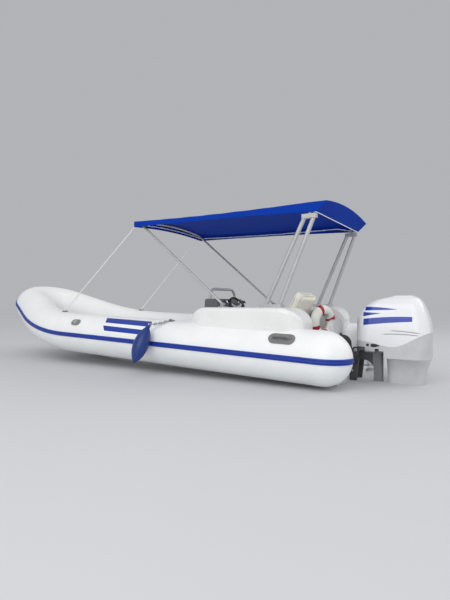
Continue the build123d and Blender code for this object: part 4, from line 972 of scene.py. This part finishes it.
def swell(piece, voxel, cap):
    """Cushion swollen by pressure: remeshed, run as cloth, each point held within the cap."""
    scene, frames = bpy.context.scene, 20
    remesh = piece.modifiers.new("Remesh", "REMESH")
    remesh.mode, remesh.voxel_size = "VOXEL", voxel
    settle(piece)
    count = len(piece.data.vertices)
    start = np.empty(count * 3, np.float32)
    piece.data.vertices.foreach_get("co", start)
    cloth = piece.modifiers.new("Cloth", "CLOTH")
    cloth.settings.use_pressure = True
    cloth.settings.uniform_pressure_force = 4.0
    cloth.settings.effector_weights.gravity = 0.0
    cloth.point_cache.frame_end = frames
    for number in range(1, frames + 1):
        scene.frame_set(number)
    settle(piece)
    if len(piece.data.vertices) != count:
        raise RuntimeError(f"{piece.name} changed its points while it swelled")
    end = np.empty(count * 3, np.float32)
    piece.data.vertices.foreach_get("co", end)
    move = (end - start).reshape(-1, 3)
    far = np.linalg.norm(move, axis=1, keepdims=True)
    held = start.reshape(-1, 3) + move * np.minimum(1, cap / np.maximum(far, 1e-9))
    piece.data.vertices.foreach_set("co", held.ravel())
    scene.frame_set(1)
    smooth = piece.modifiers.new("Smooth", "SUBSURF")
    smooth.levels = smooth.render_levels = 1
    settle(piece)
    piece.data.shade_smooth()


class BOAT_OT_seat(bpy.types.Operator):
    """Seat moulding with a stuffed cushion and backrest"""

    bl_idname = "boat.seat"
    bl_label = "Seat"

    def execute(self, context):
        paint, self.sizes = context.scene.boat_colours, context.scene.boat_sizes
        dress(moulded_gelcoat("seat_shell", paint.seat), "seat_base")
        vinyl = grained_vinyl("seat_vinyl", paint.vinyl)
        low, high = corners("seat_cushion")
        self.pad("helm_cushion", "seat_cushion", np.eye(3), high - low, (0.86,), vinyl, 0.7)
        low, high = corners("backrest")
        s, c = math.sin(BACK_LEAN), math.cos(BACK_LEAN)
        wide, broad, tall = high - low
        thick = (wide * c - tall * s) / (c * c - s * s)
        axes = np.array(((-s, 0, c), (0, 1, 0), (c, 0, s)))
        size = np.array(((tall - thick * s) / c, broad, thick))
        self.pad("helm_backrest", "backrest", axes, size, (-0.86, 0.86), vinyl, 0.75)
        return {"FINISHED"}

    def pad(self, name, node, axes, size, seams, finish, fill):
        """Closed cushion: columns go round a rounded rectangle, rows from the middle of the lower
        face over the side to the middle of the upper face, and the faces crown as a product of two
        parabolas. Air pressure then swells the cloth, and piping is sewn along the seams after it.
        """
        low, high = corners(node)
        middle, half = (low + high) / 2, size / 2 - np.array((0.6, 0.6, 0.75)) * self.sizes.plump
        cx, cy = rounded(around(96))
        face = np.linspace(0, 1, 16, endpoint=False)
        inward = np.concatenate((face, np.ones(9), face[::-1]))
        level = np.concatenate((-np.ones(16), np.linspace(-1, 1, 9), np.ones(16)))[:, None]
        x, y = inward[:, None] * cx * half[0], inward[:, None] * cy * half[1]
        crown = (1 - (x / half[0]) ** 2).clip(0) * (1 - (y / half[1]) ** 2).clip(0)
        z = level * (half[2] + 0.004 * crown**0.5)
        grid = middle + np.stack((x, y, z), -1) @ axes
        piece = add_surface(name, grid, finish, "boat", (False, True), False, 60)
        swell(piece, self.sizes.voxel, self.sizes.plump)
        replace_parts(piece, node)
        for number, share in enumerate(seams):
            self.piping(f"{name}_piping_{number}", piece, middle, axes, share * half[2], finish)

    def piping(self, name, pad, middle, axes, level, finish):
        """Cord along a seam: a closed loop round the rectangle that the pad fills at that level."""
        points = np.empty(len(pad.data.vertices) * 3, np.float32)
        pad.data.vertices.foreach_get("co", points)
        local = (points.reshape(-1, 3) - middle) @ axes.T
        reach = np.abs(local[np.abs(local[:, 2] - level) < 0.012][:, :2]).max(0) - 0.001
        cx, cy = rounded(around(160))
        path = middle + np.stack((cx * reach[0], cy * reach[1], np.full_like(cx, level)), -1) @ axes
        grid = swept(path, ring(self.sizes.piping_radius, 10), axes[2], True)
        add_surface(name, grid, finish, "boat", (True, True))


class BOAT_OT_life_ring(bpy.types.Operator):
    """Life ring with its red bands, turned a little to port on its peg"""

    bl_idname = "boat.life_ring"
    bl_label = "Life ring"

    def execute(self, context):
        paint, self.sizes = context.scene.boat_colours, context.scene.boat_sizes
        low, high = corners("life_ring")
        outer, deep = (high[2] - low[2]) / 2, (high[0] - low[0]) / 2
        self.middle = (low + high) / 2
        self.radius = (outer - deep) / (1 - math.sin(RING_TURN))
        self.axis = np.array((-math.cos(RING_TURN), math.sin(RING_TURN), 0))
        body = outer - self.radius
        cover = grained_plastic("ring_cover", paint.ring, 0.45, 300.0)
        grid = self.body(around(120), np.full(120, body - 0.0025))
        piece = add_surface("ring_buoy", grid, cover, "boat", (True, True))
        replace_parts(piece, "life_ring")
        red = coated_fabric("ring_band", paint.red)
        edge = np.minimum(np.arange(14), np.arange(14)[::-1]).clip(0, 1)
        arc = np.linspace(-0.15, 0.15, 14)
        bands = [self.body(at + arc, body - 0.0022 + 0.002 * edge) for at in np.radians((20, 110, 200, 290))]
        add_parts("ring_bands", bands, red, "boat", (False, True))
        return {"FINISHED"}

    def body(self, angle, thick):
        """Ovals of the given half thickness set round the ring's centre line, drawn out towards the hole."""
        side = np.cross((0, 0, 1), self.axis)
        spoke = np.cos(angle)[:, None] * side + np.sin(angle)[:, None] * np.array((0, 0, 1))
        oval, fat = ring(1.0, 32)[None], self.sizes.ring_fat
        out = self.radius - fat + (thick[:, None, None] + fat) * oval[..., :1]
        return self.middle + spoke[:, None] * out + self.axis * thick[:, None, None] * oval[..., 1:]


class BOAT_OT_fender(bpy.types.Operator):
    """Fender with its end collars, and the chain that it hangs on"""

    bl_idname = "boat.fender"
    bl_label = "Fender"

    def execute(self, context):
        paint, self.sizes = context.scene.boat_colours, context.scene.boat_sizes
        vinyl = grained_plastic("fender_vinyl", paint.fender, 0.35, 240.0)
        dress(vinyl, "fender")
        head, foot = self.beside(*FENDER_HEAD), self.beside(*FENDER_FOOT)
        down, tip = unit(foot - head), np.linalg.norm(foot - head) - 0.008
        collars = ((0.0, 0.0205, 0.008), (0.03, 0.031, 0.006), (tip, 0.0125, 0.007))
        rings = [revolved(self.bead(r, w), head + down * at, down, 32) for at, r, w in collars]
        add_parts("fender_collars", rings, vinyl, "boat", (True, True))
        eye, knot = on_run(*FENDER_EYE, 0.012), head - down * 0.03
        self.chain(eye, knot, polished_steel("chain_steel", paint.steel, 0.28))
        self.eye_pad(rubber("eye_pad_rubber", paint.fitting))
        return {"FINISHED"}

    def beside(self, x, out, up):
        """Point beside the port tube: along the boat, out from the tube's side and up from its centre."""
        stern = np.array(TUBE_STERN)
        ahead = unit(np.array(TUBE_SHOULDER) - stern)
        return stern + ahead * ((x - stern[0]) / ahead[0]) + np.array((0, TUBE_R + out, up))

    def bead(self, radius, width):
        """Round bead for revolving: a small circle about a larger radius."""
        return ring(width, 14) * np.array((0.6, 1.0)) + np.array((radius, 0))

    def chain(self, start, end, steel):
        """Oblong links of round wire, each turned a quarter from the last, in a shallow sag."""
        wire, outer = self.sizes.chain_wire, self.sizes.chain_link
        pitch = outer - 4 * wire
        count = max(3, round(float(np.linalg.norm(end - start)) / pitch))
        share = ((np.arange(count) + 0.5) / count)[:, None]
        spots = start + share * (end - start) - np.array((0, 0, 0.012)) * (4 * share * (1 - share))
        ahead = unit(np.gradient(spots, axis=0))
        side = unit(np.cross(ahead, (0.2, 0.1, 1.0)))
        above = np.cross(side, ahead)
        turn = around(28)
        flat = outer / 2 - 2.6 * wire
        along = np.cos(turn) * 1.6 * wire + np.clip(np.cos(turn) * 4, -1, 1) * flat
        across = np.sin(turn) * 1.7 * wire
        links = []
        for k in range(count):
            u, w = (side[k], above[k]) if k % 2 else (above[k], side[k])
            path = spots[k] + along[:, None] * ahead[k] + across[:, None] * u
            links.append(swept(path, ring(wire, 8), w, True))
        piece = add_parts("fender_chain", links, steel, "boat", (True, True))
        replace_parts(piece, "fender_line")

    def eye_pad(self, finish):
        """Oval pad glued on the tube with a raised boss: height falls off as a rounded disc."""
        turn = around(48)[None, :]
        reach = np.array((0.0, 0.25, 0.3, 0.34, 0.6, 0.9, 0.97, 1.0))[:, None]
        lift = np.array((0.016, 0.016, 0.014, 0.009, 0.008, 0.006, 0.004, 0.0002))[:, None]
        x = FENDER_EYE[0] + reach * 0.045 * np.cos(turn)
        tilt = FENDER_EYE[1] + reach * 0.03 * np.sin(turn) / TUBE_R
        grid = on_run(x, tilt, np.broadcast_to(lift, x.shape))
        add_surface("fender_eye_pad", grid, finish, "boat", (False, True))


class BOAT_OT_fittings(bpy.types.Operator):
    """Handles, valves, stay pads and towing eyes"""

    bl_idname = "boat.fittings"
    bl_label = "Fittings"

    def execute(self, context):
        paint = context.scene.boat_colours
        dress(rubber("handle_rubber", paint.fitting), *pair("handle"), *pair("stay_pad"))
        for side, hand in SIDES:
            centre = on_run(*VALVE_AT, 0.012) * np.array((1, hand, 1))
            dress(two_tone_fitting(f"valve_{side}_rubber", paint.fitting, centre, 0.032), f"valve_{side}")
        dress(polished_steel("eye_steel", paint.steel), "bow_eye", *pair("stern_eye"))
        return {"FINISHED"}


class BOAT_OT_arch(bpy.types.Operator):
    """Alloy arch, rear bar, hinged front hoop and its feet"""

    bl_idname = "boat.arch"
    bl_label = "Arch"

    def execute(self, context):
        paint = context.scene.boat_colours
        dress(drawn_alloy("arch_alloy", paint.alloy), *pair("arch"), "rear_bar", "front_bow")
        dress(drawn_alloy("foot_alloy", paint.foot), *pair("foot"))
        return {"FINISHED"}


class BOAT_OT_canopy(bpy.types.Operator):
    """Canopy cloth stretched over its two bars, with skirts all round, a pale tape and two stays"""

    bl_idname = "boat.canopy"
    bl_label = "Canopy"

    def execute(self, context):
        paint, self.sizes = context.scene.boat_colours, context.scene.boat_sizes
        low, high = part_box("canopy")
        self.x0, self.x1, self.half = low[0], high[0], high[1]
        self.rear, self.front = self.middle("rear_bar"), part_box("front_bow")[1][0] - 0.014
        self.rise = (high[2] - self.sizes.canopy_edge - self.sizes.canopy_crown) / (self.x1 - self.x0)
        self.hem_rise = self.rise + 0.010
        cloth = self.cloth(woven_canvas("canopy_canvas", paint.canopy))
        tape = self.tape(woven_canvas("canopy_tape", paint.hem))
        for piece in (cloth, tape):
            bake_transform(piece)
        self.stays(twisted_rope("stay_rope", paint.webbing))
        return {"FINISHED"}

    def middle(self, node):
        """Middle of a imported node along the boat."""
        low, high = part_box(node)
        return (low[0] + high[0]) / 2

    def top(self, x, y):
        """Crown across the boat, a slope to the bow, a sag between the bars and slight pull lines."""
        side = y / self.half
        span = np.clip((x - self.rear) / (self.front - self.rear), 0, 1)
        sink = 4 * span * (1 - span)
        pull = 0.0016 * np.sin(21 * x + 3.4 * y) * np.sin(5.3 * y + 0.8) * sink
        level = self.sizes.canopy_edge + self.rise * (x - self.x0)
        crown = 1 - side**2
        sag = self.sizes.canopy_sag * sink * (1 + 0.3 * crown)
        return level + self.sizes.canopy_crown * crown - sag + pull

    def hem(self, x):
        """Lower edge of the side skirts: a straight line that bows up a little in the middle."""
        span = np.clip((x - self.x0) / (self.x1 - self.x0), 0, 1)
        base = self.sizes.canopy_edge - self.sizes.canopy_drop + self.hem_rise * (x - self.x0)
        return base + 0.008 * 4 * span * (1 - span)

    def cloth(self, finish):
        """Top grid carried down into two side skirts, with a rear and a front skirt on its ends."""
        x = np.concatenate(([self.x0, self.x0 + 0.008], np.linspace(self.x0 + 0.03, self.x1 - 0.03, 64),
                            [self.x1 - 0.008, self.x1]))
        across = np.concatenate(([-1, -0.99], np.linspace(-0.965, 0.965, 40), [0.99, 1])) * self.half
        down, run = np.array((0, 0.12, 0.35, 0.6, 0.85, 1.0)), x[:, None]
        grids = [np.stack(np.broadcast_arrays(run, across[None], self.top(run, across[None])), -1)]
        for hand in (-1, 1):
            y, fall = np.full((len(x), 1), hand * self.half), down[None]
            edge = self.top(run, y)
            wave = 0.005 * np.sin(15 * run + hand) * np.sin(6.1 * run) * fall**1.5
            wave = wave * np.clip((run - self.x0) * 8, 0, 1) * np.clip((self.x1 - run) * 8, 0, 1)
            z = edge + fall * (self.hem(run) - edge)
            lean = run + self.sizes.hem_in * fall * ((self.x1 - run) / (self.x1 - self.x0)) ** 4
            grids.append(np.stack(np.broadcast_arrays(lean, y + hand * wave, z), -1))
        for at, lean in ((self.x0, self.sizes.hem_in), (self.x1, 0.0)):
            fall = down[:, None]
            edge = self.top(np.full_like(across, at), across)[None]
            corner = self.hem(np.array(at))
            bow = 0.0 if at == self.x0 else 0.6 * self.sizes.canopy_crown
            lower = corner + bow * (1 - (across / self.half) ** 2)[None]
            z = edge + fall * (lower - edge)
            y = np.broadcast_to(across[None], z.shape)
            grids.append(np.stack((np.broadcast_to(at + lean * fall, z.shape), y, z), -1))
        piece = add_parts("canopy_sheet", grids, finish, None, (False, False), crease=180.0)
        soft = piece.modifiers.new("Soft", "SUBSURF")
        soft.levels = soft.render_levels = 1
        thick = piece.modifiers.new("Thick", "SOLIDIFY")
        thick.thickness, thick.offset = self.sizes.cloth_thick, -1.0
        settle(piece)
        piece.data.shade_smooth()
        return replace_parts(piece, "canopy")

    def tape(self, finish):
        """Flat band that runs round inside the skirts: a thin rectangle carried along the hem line."""
        inside = self.half - 0.005
        run = np.linspace(self.x0 + self.sizes.hem_in, self.x1 - 0.006, 60)
        over = np.linspace(inside, -inside, 40)[1:-1]
        rear_z = float(self.hem(np.array(self.x0))) - 0.001
        side_z = np.maximum(rear_z, self.top(run, np.full_like(run, self.half)) - 0.036)
        side_z = rear_z + (side_z - rear_z) * np.clip((run - run[0]) / 0.25, 0, 1)
        front_z = side_z[-1] + 0.6 * self.sizes.canopy_crown * (1 - (over / inside) ** 2)
        port = np.stack((run, np.full_like(run, inside), side_z), -1)
        bow = np.stack((np.full_like(over, run[-1]), over, front_z), -1)
        back = np.stack((np.full_like(over, run[0]), over[::-1], np.full_like(over, rear_z)), -1)
        path = np.concatenate((port, bow, (port * MIRROR)[::-1], back))
        h, t = self.sizes.tape_height / 2, 0.0006
        grid = swept(path, np.array(((-t, -h), (t, -h), (t, h), (-t, h))), (0, 0, 1), True)
        return add_surface("canopy_tape", grid, finish, None, (True, True))

    def stays(self, finish):
        """Taut rope from each corner of the hoop to its pad, with whipped ends."""
        slim = 0.005
        for side, hand in SIDES:
            low, high = corners(f"stay_{side}")
            near, far = (low[1], high[1]) if hand > 0 else (high[1], low[1])
            head = np.array((low[0] + slim, near + hand * slim, high[2] - slim))
            foot = np.array((high[0] - slim, far - hand * slim, low[2] + slim))
            path = line(foot, head, 60)
            away = np.linalg.norm(path - foot, axis=1)
            end = np.minimum(away, away[-1] - away)
            girth = self.sizes.stay_radius * (1 + 0.3 * np.clip((0.11 - end) / 0.01, 0, 1))
            grid = swept(path, girth[:, None, None] * ring(1.0, 10)[None])
            piece = add_surface(f"stay_rope_{side}", grid, finish, "boat", (False, True), True)
            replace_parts(piece, f"stay_{side}")
            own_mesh(piece)


class BOAT_OT_motor(bpy.types.Operator):
    """Outboard motor: brackets, striped cowl, leg, gearcase and propeller, with its latches and bolts"""

    bl_idname = "boat.motor"
    bl_label = "Motor"

    def execute(self, context):
        paint = context.scene.boat_colours
        dress(cast_paint("clamp_paint", paint.arm), "clamp_bracket")
        dress(bracket_paint("bracket_paint", paint.bracket, paint.arm), "swivel_bracket")
        dress(cast_paint("yoke_paint", paint.bracket), "steering_yoke")
        dress(striped_cowl("cowl_paint", paint.cowl, paint.trim), "motor_cowl")
        dress(cast_paint("leg_paint", paint.leg, 0.36), "motor_leg", "gearcase")
        dress(cast_paint("engine_metal", paint.bracket), "powerhead")
        dress(polished_steel("prop_alloy", paint.steel, 0.3), "propeller")
        dress(rubber("hose_rubber", paint.hose), "rigging_hose")
        self.latches(rubber("latch_rubber", linear(38, 38, 40), 0.45))
        self.bolts(polished_steel("bolt_steel", paint.steel, 0.3))
        self.grommet(rubber("grommet_rubber", paint.hose))
        return {"FINISHED"}

    def latches(self, finish):
        """Cowl button and wedge-shaped latch on each side of the lip: rings shrink towards a raised face."""
        turn = around(40)
        along = np.cos(turn)
        reach = np.array((1.0, 1.0, 0.92, 0.75, 0.0))[:, None]
        out = np.array((0.0, 0.007, 0.009, 0.010, 0.010))[:, None]
        for side, hand in SIDES:
            shapes = []
            for x, z, wide, tall, taper in LATCHES:
                shape_x = x + reach * wide * along
                shape_z = z + reach * tall * np.sin(turn) * (1 + taper * along)
                shape_y = np.broadcast_to(hand * (LIP_HALF + out), shape_x.shape)
                shapes.append(np.stack((shape_x, shape_y, shape_z), -1))
            piece = add_parts(f"cowl_latch_{side}", shapes, finish, "motor", (False, True))

    def bolts(self, finish):
        """Six-sided heads on the clamp's plates and a nut at each end of the tilt tube."""
        heads = []
        for hand in (1, -1):
            for x, z, size in BOLTS:
                face = 0.72 * size
                profile = np.array(((size, -0.003), (size, 0.6 * size), (0.8 * size, face), (0, face)))
                heads.append(revolved(profile, (x, hand * CLAMP_HALF, z), (0, hand, 0), 6))
        add_parts("clamp_bolts", heads, finish, "boat", (False, True), crease=20)

    def grommet(self, finish):
        """Rubber bead round the hose where it leaves the transom."""
        bead = ring(0.008, 12) + np.array((0.031, 0))
        grid = revolved(bead, GROMMET_AT, (-1, 0, 0), 36)
        add_surface("hose_grommet", grid, finish, "boat", (True, True))


class BOAT_PT_sidebar(bpy.types.Panel):
    """Lists the boat's pieces with their colours and sizes"""

    bl_idname = "BOAT_PT_sidebar"
    bl_label = "Inflatable boat"
    bl_space_type = "VIEW_3D"
    bl_region_type = "UI"
    bl_category = "Boat"

    def draw(self, context):
        """Buttons for the pieces, then their settings."""
        for operator in OPERATORS:
            self.layout.operator(operator.bl_idname)
        for name, group in GROUPS.items():
            box = self.layout.box()
            for key in group.__annotations__:
                box.prop(getattr(context.scene, name), key)


GROUPS = {"boat_colours": BoatColours, "boat_sizes": BoatSizes, "boat_stage": BoatStage}
OPERATORS = (
    BOAT_OT_stage, BOAT_OT_tubes, BOAT_OT_mouldings, BOAT_OT_console, BOAT_OT_seat, BOAT_OT_life_ring,
    BOAT_OT_fender, BOAT_OT_fittings, BOAT_OT_arch, BOAT_OT_canopy, BOAT_OT_motor,
)


def register():
    """Adds the classes and the settings."""
    for item in (*GROUPS.values(), *OPERATORS, BOAT_PT_sidebar):
        bpy.utils.register_class(item)
    for name, group in GROUPS.items():
        setattr(bpy.types.Scene, name, PointerProperty(type=group))


def unregister():
    """Takes the settings and the classes away."""
    for name in GROUPS:
        delattr(bpy.types.Scene, name)
    for item in reversed((*GROUPS.values(), *OPERATORS, BOAT_PT_sidebar)):
        bpy.utils.unregister_class(item)


def main():
    """Builds every piece."""
    register()
    for operator in OPERATORS:
        family, name = operator.bl_idname.split(".")
        getattr(getattr(bpy.ops, family), name)()


if __name__ == "__main__":
    main()
